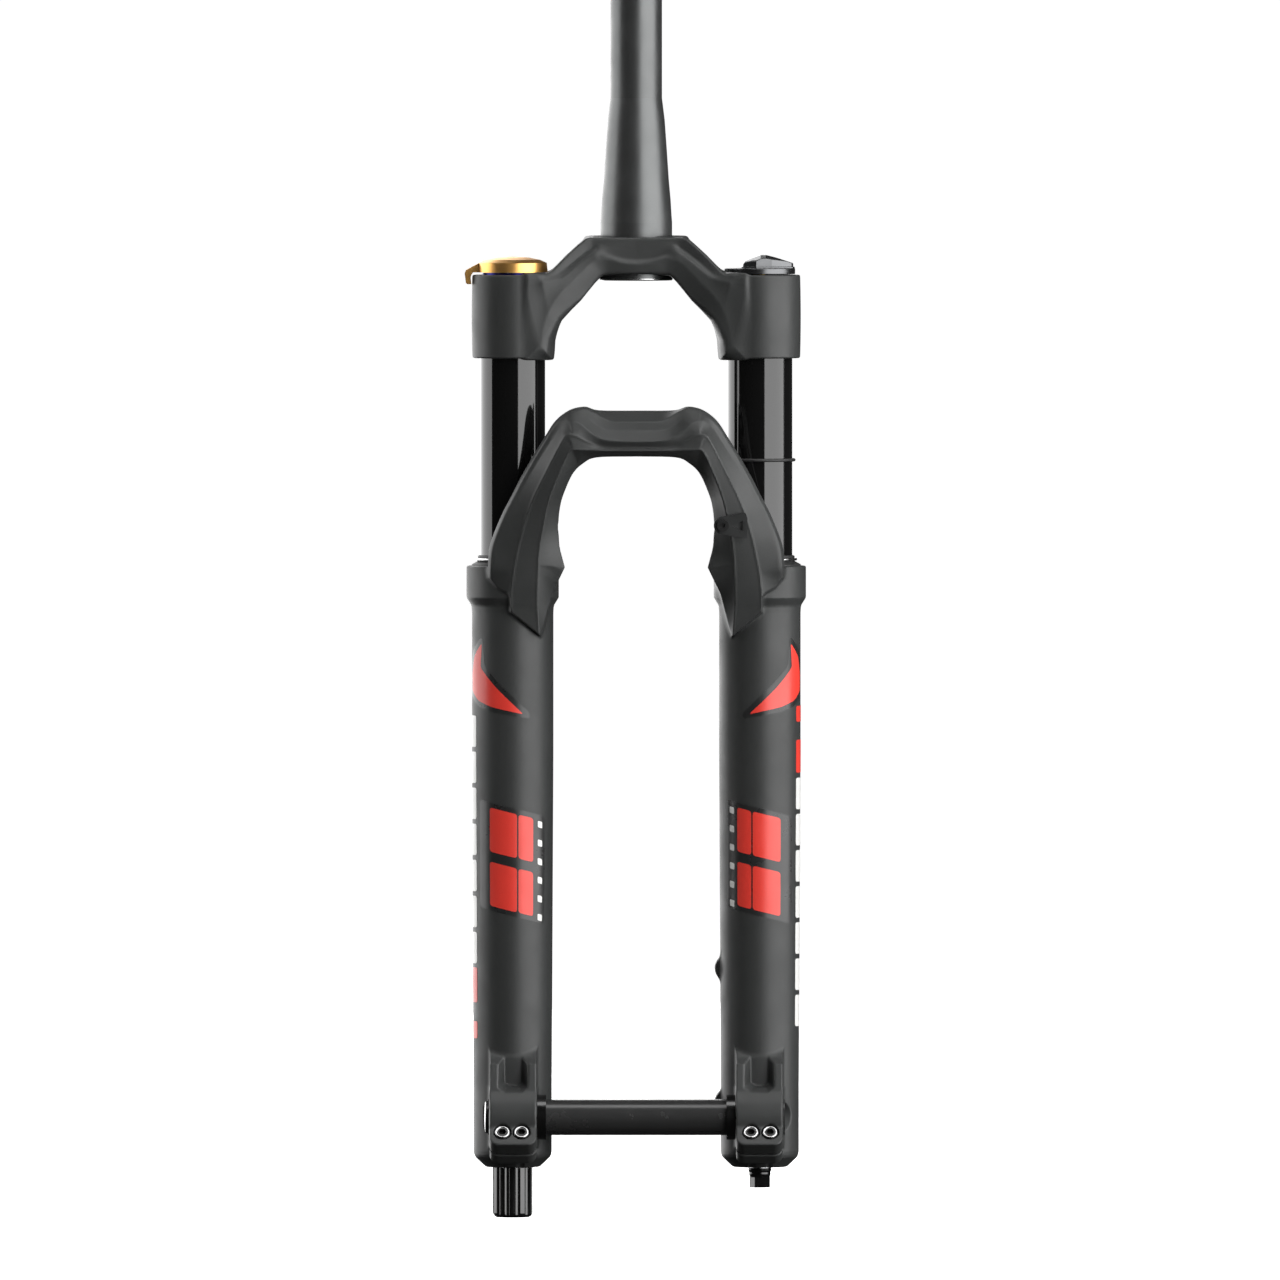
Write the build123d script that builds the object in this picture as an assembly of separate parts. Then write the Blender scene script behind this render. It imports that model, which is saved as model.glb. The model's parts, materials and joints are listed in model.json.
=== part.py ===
from build123d import *
import math
import os

# A single-crown suspension fork, in millimetres.
# Origin: centre of the crown race seat, on the steerer's axis.
# +Z runs up the steerer, +X towards the air-spring leg, -Y towards the wheel's front.

# ---- driving dimensions -------------------------------------------------------------
LEG_X = 68.5                # half the distance between the two legs
LEG_Y = -14.0               # the legs stand ahead of the steerer
AXLE_Y = -37.0              # fork offset
AXLE_Z = -487.2             # axle to crown
TRAVEL = 100.0
FIT = 0.05                  # radial clearance of a running fit
GAP = 0.3                   # clearance between pieces that pass each other

STEERER_TOP = 218.0
STEERER_R = 14.3            # 1 1/8 inch clamp area
RACE_R = 19.9               # tapered base, for a 39.8 mm crown race
RACE_SEAT_TOP = 8.0
STEERER_PRESS_R = 20.6      # where it is pressed into the crown
STEERER_FOOT = -23.0

STANCHION_R = 18.0
STANCHION_BORE_R = 16.2
STANCHION_TOP = -21.2
STANCHION_FOOT = -362.0

CLAMP_R = 22.7
CLAMP_TOP = -20.75
CLAMP_FOOT = -67.0
BOSS_R = 28.0               # crown boss round the steerer
CROWN_FOOT = -24.0          # underside of the crown boss

COLLAR_R = 25.6
COLLAR_TOP = -182.0
COLLAR_FOOT = -199.8
LEG_R_TOP = 22.6
LEG_R_FOOT = 21.7
LEG_FOOT = -515.6
SEAL_BORE_R = 22.4
SEAL_BORE_FOOT = -196.0
BUSH_BORE_R = 19.6
BUSH_BORE_FOOT = -290.0
LEG_BORE_R = 18.6
LEG_BORE_FOOT = STANCHION_FOOT - TRAVEL - 12   # leaves room for the bottom-out bumper
SUMP_R = 9.0
SUMP_FOOT = -503.0

AXLE_R = 10.0
AXLE_ENDS = (-83.2, 82.3)
DROPOUT_IN = 55.5           # inner and outer faces of each dropout, from the centre
DROPOUT_OUT = 81.0
DROPOUT_R = 17.0
POCKET_X = (59.9, 75.4)     # the pocket between each dropout's ribs
POCKET_FLOOR = -472.0
HUB_FACE = 50.0             # the hub sits between these faces
HUB_RING_R = 12.5
LUG_TILT = 40.0             # pinch bolts lean back by this angle from horizontal
LUG_LENGTH = 26.6
LUG_UPPER = 9.5
LUG_LOWER = 8.0
SLIT = 1.6
PINCH_REACH = 17.8          # from the axle's centre to the pinch bolts
PINCH_SEAT = 4.8            # the bolt heads are sunk below the lug's face
PINCH_RECESS_R = 4.8
PINCH_X = (63.5, 74.1)
PINCH_HEAD_R = 4.3
PINCH_HEAD_H = 5.0
PINCH_SHANK_R = 2.5

POST_X = 50.0               # brake post mounts, behind the air leg
POST_Z = (-405.4, -479.6)
POST_R = 6.5
POST_FACE_Y = 12.0
POST_HOLE_R = 2.5           # drilled for an M6 thread
POST_HOLE_DEPTH = 14.0

GUIDE_X = 48.0              # brake-hose guide, on the air side of the arch
GUIDE_Z = -159.0
GUIDE_SEAT_Y = -50.2
GUIDE_THICK = 2.3
GUIDE_R = 5.1
GUIDE_SCREW_R = 1.5

SHAFT_R = 5.0
SHAFT_TOP = -302.0
SHAFT_FOOT = -514.5
SEAL_HEAD_TOP = -343.0
ORING_Z = -123.4            # where the travel o-ring was left on the air stanchion
ORING_WIRE_R = 0.9
SEAL_HEAD_FOOT = -358.0
CARTRIDGE_R = 12.0
CARTRIDGE_BORE_R = 11.0
ROD_R = 2.0

LEVER_R = 19.55
LEVER_FOOT = -19.45
LEVER_RIM = -14.2
LEVER_TOP = -10.5
KNOB_R = 11.05
KNOB_TOP = -515.9
KNOB_FOOT = -543.5
KNOB_FLUTES = 12

ARCH_BACK_Y = -38.7         # the arch's back stays ahead of the crown at full travel

# The arch's sections, from its foot on the leg up to the middle of the bridge:
# (outer x, z), (inner x, z), where the two creases fall between them as fractions,
# and how far forward the outer edge, creases and inner edge stand; then the back face.
ARCH_SECTIONS = [
    ((-72.6, -221.0), (-50.5, -221.0), (0.20, 0.75), (-33.0, -35.0, -33.0, -28.0), -22.0),
    ((-80.9, -207.6), (-48.3, -207.6), (0.36, 0.80), (-32.5, -41.0, -39.5, -28.0), -22.0),
    ((-82.0, -195.4), (-43.8, -195.4), (0.33, 0.72), (-35.5, -43.0, -42.0, -30.0), -24.0),
    ((-82.3, -182.4), (-39.4, -182.4), (0.34, 0.66), (-39.8, -45.0, -44.0, -39.8), ARCH_BACK_Y),
    ((-81.2, -173.2), (-42.0, -173.2), (0.39, 0.70), (-40.0, -46.5, -45.5, -40.5), ARCH_BACK_Y),
    ((-76.5, -158.7), (-43.1, -158.7), (0.42, 0.76), (-40.5, -49.5, -48.5, -41.5), ARCH_BACK_Y),
    ((-70.7, -145.6), (-41.3, -145.6), (0.44, 0.77), (-41.0, -52.0, -51.0, -43.0), ARCH_BACK_Y),
    ((-62.1, -129.0), (-37.7, -135.6), (0.46, 0.78), (-42.0, -54.5, -53.5, -45.0), ARCH_BACK_Y),
    ((-52.7, -112.9), (-32.8, -127.9), (0.48, 0.79), (-43.0, -56.5, -55.5, -48.0), ARCH_BACK_Y),
    ((-42.2, -98.8), (-27.2, -123.6), (0.56, 0.80), (-45.0, -58.0, -57.0, -50.0), ARCH_BACK_Y),
    ((-29.4, -93.4), (-21.7, -121.7), (0.66, 0.82), (-47.0, -58.5, -57.5, -51.0), ARCH_BACK_Y),
    ((-20.0, -97.4), (-16.7, -121.1), (0.70, 0.82), (-50.0, -58.5, -57.5, -52.0), ARCH_BACK_Y),
    ((0.0, -99.0), (0.0, -120.8), (0.72, 0.82), (-51.0, -58.5, -57.5, -52.0), ARCH_BACK_Y),
]

DAMPER_X = -LEG_X
AIR_X = LEG_X


# ---- helpers ------------------------------------------------------------------------
def rod(x, y, z_low, z_high, radius):
    """A plain cylinder standing along Z."""
    return Pos(x, y, (z_low + z_high) / 2) * Cylinder(radius, z_high - z_low)


def ring(x, y, z_low, z_high, outer, inner):
    """A tube standing along Z."""
    return rod(x, y, z_low, z_high, outer) - rod(x, y, z_low, z_high, inner)


def turned(x, y, profile):
    """A turned piece: a closed (radius, z) outline revolved about a vertical axis."""
    outline = Plane.XZ * Polygon(*profile, align=None)
    return Pos(x, y, 0) * revolve(outline, Axis.Z, 360)


def bead(x, y, z, radius, wire_r):
    """A round-wire ring lying flat, its section drawn with twelve sides."""
    angles = [math.radians(30 * i) for i in range(12)]
    return turned(x, y, [(radius + wire_r * math.cos(a), z + wire_r * math.sin(a)) for a in angles])


def bar_x(x_low, x_high, y, z, radius):
    """A cylinder lying along X."""
    length = abs(x_high - x_low)
    return Pos((x_low + x_high) / 2, y, z) * Rot(0, 90, 0) * Cylinder(radius, length)


def slab(x_low, x_high, y_low, y_high, z_low, z_high):
    """A box given by its two corners."""
    centre = ((x_low + x_high) / 2, (y_low + y_high) / 2, (z_low + z_high) / 2)
    return Pos(*centre) * Box(x_high - x_low, y_high - y_low, z_high - z_low)


def side_plate(outline_yz, x_low, x_high):
    """A plate with a (y, z) outline, between two x positions."""
    face = Plane.YZ * Polygon(*outline_yz, align=None)
    return Pos(x_low, 0, 0) * extrude(face, x_high - x_low, dir=(1, 0, 0))


def front_plate(outline_xz, y_low, y_high):
    """A plate with an (x, z) outline, between two y positions."""
    face = Plane.XZ * Polygon(*outline_xz, align=None)
    return Pos(0, y_low, 0) * extrude(face, y_high - y_low, dir=(0, 1, 0))


def mirrored_outline(half):
    """Close a left-hand outline, listed top to bottom, with its right-hand mirror."""
    return half + [(-x, z) for x, z in reversed(half)]


def lug_frame(side_x):
    """Pinch-lug axes at the axle: local X along the axle, Y along the lug, Z to the bolt heads."""
    tilt = math.radians(LUG_TILT)
    heads = Vector(0, -math.cos(tilt), math.sin(tilt))
    return Plane(origin=(side_x, AXLE_Y, AXLE_Z), x_dir=(-1, 0, 0), z_dir=heads)


# ---- crown, steerer and stanchions ---------------------------------------------------
def make_crown():
    front = mirrored_outline([
        (-26.0, 0.0), (-28.3, -0.6), (-32.8, -4.4), (-44.9, -16.1), (-47.2, -18.6), (-60.0, -22.0),
        (-60.0, -66.0), (-46.8, -64.0), (-46.1, -57.0), (-41.1, -45.9), (-30.6, -34.9),
        (-22.3, -24.9), (-18.4, -23.8)])
    plan = [(0, -28.0), (-30, -31.5), (-62, -36.2), (-68, -20), (-61.5, 7.0), (-44, 12.0),
            (-22, 18.0), (0, 18.0)]
    plan_outline = Polygon(*(plan + [(-x, y) for x, y in reversed(plan[1:-1])]), align=None)
    arms = front_plate(front, -45, 30) & extrude(Pos(0, 0, -80) * plan_outline, 90, dir=(0, 0, 1))
    body = arms + rod(0, 0, CROWN_FOOT, 0, BOSS_R)
    body = body - front_plate([(-18, -21), (18, -21), (18, -30), (-18, -30)], -45, -22)
    for x in (DAMPER_X, AIR_X):
        body += clamp_sleeve(x)
        body -= rod(x, LEG_Y, CLAMP_TOP, 10, LEVER_R + 0.9)
    for x in (DAMPER_X, AIR_X):
        body -= rod(x, LEG_Y, CLAMP_FOOT - 1, CLAMP_TOP + 1, STANCHION_R)
    return body - rod(0, 0, CROWN_FOOT - 1, 1, STEERER_PRESS_R)


def clamp_sleeve(x):
    """One stanchion clamp, slightly barrelled, with rounded rims."""
    middle = (CLAMP_TOP + CLAMP_FOOT) / 2
    return turned(x, LEG_Y, [(0, CLAMP_TOP), (CLAMP_R - 2.2, CLAMP_TOP),
                             (CLAMP_R - 0.9, CLAMP_TOP - 0.6), (CLAMP_R - 0.3, CLAMP_TOP - 2.2),
                             (CLAMP_R, middle + 4), (CLAMP_R - 0.5, CLAMP_FOOT + 2.6),
                             (CLAMP_R - 1.2, CLAMP_FOOT + 0.8), (CLAMP_R - 2.6, CLAMP_FOOT),
                             (0, CLAMP_FOOT)])


def make_steerer():
    outer = [(STEERER_R, STEERER_TOP), (STEERER_R, 77), (15.8, 65), (17.0, 48), (18.1, 31.5),
             (19.1, 20.5), (19.6, 12), (RACE_R, RACE_SEAT_TOP), (RACE_R, 0),
             (STEERER_PRESS_R, 0), (STEERER_PRESS_R, STEERER_FOOT)]
    inner = [(16.4, STEERER_FOOT), (16.4, 8), (12.2, 70), (12.2, STEERER_TOP)]
    return turned(0, 0, outer + inner)


def make_stanchion(x):
    return ring(x, LEG_Y, STANCHION_FOOT, STANCHION_TOP, STANCHION_R, STANCHION_BORE_R)


# ---- damper leg, inside ---------------------------------------------------------------
def make_damper_topcap():
    flange = rod(DAMPER_X, LEG_Y, STANCHION_TOP, LEVER_FOOT - GAP, 16.9)
    plug = rod(DAMPER_X, LEG_Y, -34, STANCHION_TOP, STANCHION_BORE_R)
    return flange + plug - rod(DAMPER_X, LEG_Y, -40, 0, 3.0 + FIT)


def make_damper_cartridge():
    return ring(DAMPER_X, LEG_Y, SEAL_HEAD_TOP, -34, CARTRIDGE_R, CARTRIDGE_BORE_R)


def make_base_valve():
    valve = ring(DAMPER_X, LEG_Y, -175, -165, CARTRIDGE_BORE_R, ROD_R + FIT)
    for i in range(6):
        angle = math.radians(60 * i)
        valve -= rod(DAMPER_X + 7 * math.cos(angle), LEG_Y + 7 * math.sin(angle), -176, -164, 1.6)
    return valve


def make_floating_piston():
    return ring(DAMPER_X, LEG_Y, -150, -140, CARTRIDGE_BORE_R - 2 * FIT, ROD_R + 2 * FIT)


def make_ifp_spring():
    """The spring that backs the floating piston, wound between the piston and the top cap."""
    wire_r, coil_r, pitch = 0.8, 8.5, 8.0
    low, high = -139.1, -61.0
    helix = Helix(pitch=pitch, height=high - low, radius=coil_r)
    section = Plane(origin=helix @ 0, z_dir=helix % 0) * Circle(wire_r)
    return Pos(DAMPER_X, LEG_Y, low) * sweep(section, path=helix)


def make_spring_seat():
    return ring(DAMPER_X, LEG_Y, -60.1, -56, CARTRIDGE_BORE_R, ROD_R + 2 * FIT)


def make_seal_head(x):
    return ring(x, LEG_Y, SEAL_HEAD_FOOT, SEAL_HEAD_TOP, STANCHION_BORE_R, SHAFT_R + FIT)


def make_seal_head_clips():
    """One spring clip under each seal head."""
    clips = []
    for x in (DAMPER_X, AIR_X):
        clip = ring(x, LEG_Y, SEAL_HEAD_FOOT - 1.6, SEAL_HEAD_FOOT, STANCHION_BORE_R, 13.8)
        clips.append(clip - slab(x - 3, x + 3, LEG_Y - 20, LEG_Y, -370, -350))
    return clips


def make_top_out_bumpers():
    return [ring(x, LEG_Y, SEAL_HEAD_TOP, SEAL_HEAD_TOP + 6, 9.0, SHAFT_R + 2 * GAP)
            for x in (DAMPER_X, AIR_X)]


def make_damper_shaft():
    return ring(DAMPER_X, LEG_Y, SHAFT_FOOT - 1.1, SHAFT_TOP, SHAFT_R, ROD_R + FIT)


def make_rebound_piston():
    piston = ring(DAMPER_X, LEG_Y, SHAFT_TOP, SHAFT_TOP + 12, CARTRIDGE_BORE_R - 2 * FIT,
                  ROD_R + FIT)
    for i in range(6):
        angle = math.radians(60 * i)
        piston -= rod(DAMPER_X + 7 * math.cos(angle), LEG_Y + 7 * math.sin(angle),
                      SHAFT_TOP - 1, SHAFT_TOP + 13, 1.5)
    return piston


def make_compression_rod():
    """Turns the base valve; its upper end carries the lever."""
    upper = rod(DAMPER_X, LEG_Y, -55, LEVER_TOP - 3.5, 3.0)
    return upper + rod(DAMPER_X, LEG_Y, -164, -55, ROD_R)


def make_rebound_rod():
    return rod(DAMPER_X, LEG_Y, KNOB_FOOT + 8, SHAFT_TOP + 8, ROD_R)


# ---- damper leg, controls --------------------------------------------------------------
def make_compression_lever():
    """A shallow domed disc with a finger that hangs down outside the clamp."""
    disc = turned(DAMPER_X, LEG_Y, [(0, LEVER_FOOT), (LEVER_R, LEVER_FOOT), (LEVER_R - 0.6, LEVER_RIM),
                                    (LEVER_R - 1.4, LEVER_RIM + 0.4), (15.0, -12.4), (9.0, -11.2),
                                    (0, LEVER_TOP)])
    finger = front_plate([(-83.0, -12.9), (-86.5, -14.0), (-90.5, -16.0), (-94.4, -18.2),
                          (-95.1, -20.0), (-94.4, -25.4), (-93.6, -26.0), (-91.4, -26.0),
                          (-91.8, -22.5), (-91.4, -20.9), (-90.4, LEVER_FOOT), (-83.0, LEVER_FOOT)],
                         LEG_Y - 4.0, LEG_Y + 4.0)
    lever = disc + finger
    lever -= rod(DAMPER_X, LEG_Y, -25, LEVER_TOP - 3.5, 3.0)
    return lever - rod(DAMPER_X, LEG_Y, LEVER_TOP - 3.5, 0, 3.2)


def make_lever_screw():
    head = rod(DAMPER_X, LEG_Y, LEVER_TOP - 3.5, LEVER_TOP - 0.8, 3.2)
    socket = Pos(DAMPER_X, LEG_Y, LEVER_TOP - 2.6) * extrude(RegularPolygon(1.3, 6), 3)
    return head - socket


def make_rebound_knob():
    """A long fluted knob; it covers the damper's foot nut."""
    knob = turned(DAMPER_X, LEG_Y, [(0, KNOB_FOOT), (KNOB_R - 2.2, KNOB_FOOT), (KNOB_R - 0.7, KNOB_FOOT + 0.8),
                                    (KNOB_R, KNOB_FOOT + 2.4), (KNOB_R, KNOB_TOP), (0, KNOB_TOP)])
    for i in range(KNOB_FLUTES):
        angle = math.radians(360 / KNOB_FLUTES * (i + 0.5))
        reach = KNOB_R + 1.0
        knob -= rod(DAMPER_X + reach * math.cos(angle), LEG_Y + reach * math.sin(angle),
                    KNOB_FOOT + 1.6, KNOB_TOP + 1, 1.9)
    knob -= rod(DAMPER_X, LEG_Y, -524, KNOB_TOP + 1, 8.2)
    return knob - rod(DAMPER_X, LEG_Y, KNOB_FOOT + 8, -520, ROD_R)


# ---- air leg ---------------------------------------------------------------------------
def make_air_topcap():
    flange = rod(AIR_X, LEG_Y, STANCHION_TOP, CLAMP_TOP, 17.2)
    plug = rod(AIR_X, LEG_Y, -34, STANCHION_TOP, STANCHION_BORE_R)
    return flange + plug - rod(AIR_X, LEG_Y, -40, 0, 3.9)


def make_valve_stem():
    stem = rod(AIR_X, LEG_Y, -34, -14.5, 3.9)
    return stem - rod(AIR_X, LEG_Y, -31, -14, 1.5)


def make_valve_pin():
    return rod(AIR_X, LEG_Y, -26, -14.8, 0.8)


def make_air_cap():
    """A low cap with a raised, faceted grip across its outer three quarters."""
    foot = CLAMP_TOP + GAP
    disc = rod(AIR_X, LEG_Y, foot, -17.2, 19.7)
    grip = front_plate([(57.0, -17.2), (59.4, -16.0), (60.2, -13.6), (64.0, -11.4), (69.0, -9.9),
                        (72.0, -9.9), (77.0, -11.2), (87.6, -14.8), (88.0, -16.0), (88.0, -17.2)],
                       LEG_Y - 11, LEG_Y + 11)
    grip &= rod(AIR_X, LEG_Y, -20, -5, 19.7)
    return disc + grip - rod(AIR_X, LEG_Y, foot - 1, -13.6, 5.0)


def make_volume_spacers():
    return [ring(AIR_X, LEG_Y, top - 11, top, 13.0, 4.5) for top in (-34, -45)]


def make_air_shaft():
    return ring(AIR_X, LEG_Y, SHAFT_FOOT, SHAFT_TOP, SHAFT_R, 2.5)


def make_air_piston():
    piston = rod(AIR_X, LEG_Y, SHAFT_TOP, SHAFT_TOP + 12, STANCHION_BORE_R - GAP)
    return piston - ring(AIR_X, LEG_Y, SHAFT_TOP + 4, SHAFT_TOP + 8, 18, 13.5)


def make_air_piston_seal():
    return ring(AIR_X, LEG_Y, SHAFT_TOP + 4, SHAFT_TOP + 8, STANCHION_BORE_R - FIT, 13.5)


def make_travel_oring():
    return bead(AIR_X, LEG_Y, ORING_Z, STANCHION_R + FIT + ORING_WIRE_R, ORING_WIRE_R)


# ---- lowers ----------------------------------------------------------------------------
def leg_outside(x):
    return turned(x, LEG_Y, [(0, COLLAR_TOP), (COLLAR_R - 0.5, COLLAR_TOP), (COLLAR_R, COLLAR_TOP - 0.5),
                             (COLLAR_R, COLLAR_FOOT), (LEG_R_TOP + 0.4, COLLAR_FOOT - 4.2),
                             (LEG_R_TOP, -208), (LEG_R_TOP, -285), (LEG_R_FOOT, -470),
                             (LEG_R_FOOT, -507.5), (LEG_R_FOOT - 0.9, -510.4), (15.4, -515.2),
                             (14.4, LEG_FOOT), (0, LEG_FOOT)])


def leg_inside(x):
    return turned(x, LEG_Y, [(0, COLLAR_TOP + 1), (SEAL_BORE_R, COLLAR_TOP + 1),
                             (SEAL_BORE_R, SEAL_BORE_FOOT), (BUSH_BORE_R, SEAL_BORE_FOOT),
                             (BUSH_BORE_R, BUSH_BORE_FOOT), (LEG_BORE_R, BUSH_BORE_FOOT),
                             (LEG_BORE_R, LEG_BORE_FOOT), (SUMP_R, LEG_BORE_FOOT - 4),
                             (SUMP_R, SUMP_FOOT), (SHAFT_R, SUMP_FOOT), (SHAFT_R, LEG_FOOT - 1),
                             (0, LEG_FOOT - 1)])


def arch_section(outer, inner, creases, forward, back):
    """One six-sided section of the arch, across its width."""
    def at(fraction, y):
        x = outer[0] + fraction * (inner[0] - outer[0])
        z = outer[1] + fraction * (inner[1] - outer[1])
        return (x, y, z)
    corners = [at(0, back), at(0, forward[0]), at(creases[0], forward[1]),
               at(creases[1], forward[2]), at(1, forward[3]), at(1, back)]
    return Face(Wire.make_polygon([Vector(*c) for c in corners], close=True))


def make_arch():
    sections = [arch_section(*row) for row in ARCH_SECTIONS]
    half = loft(sections, ruled=True)
    return half + mirror(half, about=Plane.YZ)


def dropout(side):
    """The axle clamp ahead of a leg's foot, with its ribs and split pinch lug."""
    low, high = sorted((side * DROPOUT_IN, side * DROPOUT_OUT))
    boss = bar_x(low, high, AXLE_Y, AXLE_Z, DROPOUT_R)
    ribs = side_plate([(-20, -452), (-35.6, -452), (-46.5, -473.0), (-52.0, -482.0),
                       (-45, -500), (-20, -509)], low, high)
    plane = lug_frame((low + high) / 2)
    lug_mid = (LUG_UPPER - LUG_LOWER) / 2
    lug = plane * Pos(0, LUG_LENGTH / 2, lug_mid) * Box(high - low, LUG_LENGTH, LUG_UPPER + LUG_LOWER)
    lug_edges = lug.edges().filter_by(lambda e: abs((e % 0.5).dot(plane.z_dir)) > 0.99)
    outer_edges = lug_edges.sort_by(lambda e: (e @ 0.5 - plane.origin).dot(plane.y_dir))[-2:]
    lug = fillet(outer_edges, 5.0)
    pocket_low, pocket_high = sorted((side * POCKET_X[0], side * POCKET_X[1]))
    pocket = slab(pocket_low, pocket_high, -70, -30, POCKET_FLOOR, -440)
    return boss + (ribs - pocket) + lug


def dropout_cuts(side):
    """The pinch slit, the hub ring's clearance and two sunk bolt holes of one dropout."""
    plane = lug_frame(side * (DROPOUT_IN + DROPOUT_OUT) / 2)
    slit = plane * Pos(0, 20, 0) * Box(DROPOUT_OUT - DROPOUT_IN + 2, 40, SLIT)
    clearance = bar_x(side * (DROPOUT_IN - 8), side * DROPOUT_IN, AXLE_Y, AXLE_Z, HUB_RING_R + GAP)
    cuts = [slit, clearance]
    for pinch_x in PINCH_X:
        spot = lug_frame(side * pinch_x)
        cuts.append(spot * Pos(0, PINCH_REACH, 0) * Cylinder(PINCH_SHANK_R, 60))
        cuts.append(spot * Pos(0, PINCH_REACH, PINCH_SEAT + 10) * Cylinder(PINCH_RECESS_R, 20))
    return cuts


def make_lower_legs():
    body = leg_outside(DAMPER_X) + leg_outside(AIR_X) + make_arch()
    for side in (-1, 1):
        body += dropout(side)
    for z in POST_Z:
        body += post_boss(z)
    body += guide_pad()
    for x in (DAMPER_X, AIR_X):
        body -= leg_inside(x)
    body -= bar_x(AXLE_ENDS[0] - GAP, DROPOUT_OUT + 8, AXLE_Y, AXLE_Z, AXLE_R + FIT)
    for side in (-1, 1):
        for cut in dropout_cuts(side):
            body -= cut
    for z in POST_Z:
        hole = Pos(POST_X, POST_FACE_Y - POST_HOLE_DEPTH / 2, z) * Rot(90, 0, 0)
        body -= hole * Cylinder(POST_HOLE_R, POST_HOLE_DEPTH)
    return body - guide_screw_hole()


def post_boss(z):
    """A post with a tapped hole for a disc-brake caliper, standing back from the air leg."""
    root_y = LEG_Y - 4
    length = POST_FACE_Y - root_y
    return Pos(POST_X, root_y + length / 2, z) * Rot(90, 0, 0) * Cylinder(POST_R, length)


# ---- hose guide ------------------------------------------------------------------------
def stud_y(y_front, y_back, radius):
    """A cylinder along Y at the hose guide's screw."""
    middle = (y_front + y_back) / 2
    return Pos(GUIDE_X, middle, GUIDE_Z) * Rot(90, 0, 0) * Cylinder(radius, y_back - y_front)


def guide_pad():
    """The small boss on the arch that the hose guide is screwed to."""
    return stud_y(GUIDE_SEAT_Y, GUIDE_SEAT_Y + 8, GUIDE_R - 0.8)


def guide_screw_hole():
    return stud_y(GUIDE_SEAT_Y - 1, GUIDE_SEAT_Y + 7, GUIDE_SCREW_R)


def make_hose_guide():
    """A clip held by one screw; its open notch grips the brake hose."""
    front = GUIDE_SEAT_Y - GUIDE_THICK
    plate = front_plate([(48.0, -153.9), (60.5, -152.0), (61.5, -155.0), (61.5, -166.3), (48.0, -164.1)],
                        front, front + 1.3)
    notch = front_plate([(53.0, -159.3), (59.2, -156.4), (59.2, -162.3)], front - 1, GUIDE_SEAT_Y + 1)
    guide = plate + stud_y(front, GUIDE_SEAT_Y, GUIDE_R) - notch
    return guide - stud_y(front - 1, GUIDE_SEAT_Y + 1, GUIDE_SCREW_R)


def make_hose_guide_screw():
    front = GUIDE_SEAT_Y - GUIDE_THICK
    head = stud_y(front - 2.2, front, 3.35)
    socket = Pos(GUIDE_X, front - 0.8, GUIDE_Z) * Rot(90, 0, 0) * extrude(RegularPolygon(1.4, 6), 3)
    return head + stud_y(front, GUIDE_SEAT_Y + 6, GUIDE_SCREW_R) - socket


# ---- seals, bushings and small parts of the lowers ---------------------------------------
def make_wiper(x):
    """Dust wiper: pressed into the collar, its lip hugs the stanchion."""
    lip = STANCHION_R + FIT
    return turned(x, LEG_Y, [(lip, -176.2), (lip + 1.0, -176.4), (lip + 1.4, -177.4), (lip + 1.1, -178.5),
                             (lip + 1.5, -179.6), (SEAL_BORE_R + 0.2, -181.2), (SEAL_BORE_R + 0.6, COLLAR_TOP),
                             (SEAL_BORE_R, COLLAR_TOP), (SEAL_BORE_R, -190), (lip, -190)])


def make_wiper_spring(x):
    return bead(x, LEG_Y, -178.5, STANCHION_R + FIT + 1.3 + 0.7, 0.7)


def make_foam_ring(x):
    return ring(x, LEG_Y, SEAL_BORE_FOOT, -190, SEAL_BORE_R, STANCHION_R + GAP)


def make_bushing(x, top):
    return ring(x, LEG_Y, top - 15, top, BUSH_BORE_R, STANCHION_R + FIT)


def make_hub_ring(side):
    low, high = sorted((side * HUB_FACE, side * DROPOUT_IN))
    return bar_x(low, high, AXLE_Y, AXLE_Z, HUB_RING_R) - bar_x(low - 1, high + 1, AXLE_Y, AXLE_Z,
                                                              AXLE_R + 2 * FIT)


def make_bottom_out_bumpers():
    return [ring(x, LEG_Y, LEG_BORE_FOOT, LEG_BORE_FOOT + 8, 17.8, 9.5) for x in (DAMPER_X, AIR_X)]


def make_crush_washers():
    return [ring(x, LEG_Y, LEG_FOOT - 0.5, LEG_FOOT, 6.2, SHAFT_R) for x in (DAMPER_X, AIR_X)]


def make_foot_nut_damper():
    top = LEG_FOOT - 0.5
    nut = Pos(DAMPER_X, LEG_Y, top - 6) * extrude(RegularPolygon(6.9, 6), 6)
    return nut - rod(DAMPER_X, LEG_Y, top - 7, top + 1, ROD_R + FIT)


def make_foot_nut_air():
    """A stepped bolt: collar, neck and hexagon."""
    top = LEG_FOOT - 0.5
    collar = turned(AIR_X, LEG_Y, [(0, top), (6.3, top), (6.5, top - 1.2), (5.9, top - 2.4), (6.1, top - 3.4),
                                   (5.6, top - 5.2), (0, top - 5.2)])
    hexagon = Pos(AIR_X, LEG_Y, -527.0) * extrude(RegularPolygon(5.7, 6), top - 5.2 + 527.0)
    return collar + hexagon + rod(AIR_X, LEG_Y, top, SHAFT_FOOT, 3.0)


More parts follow.
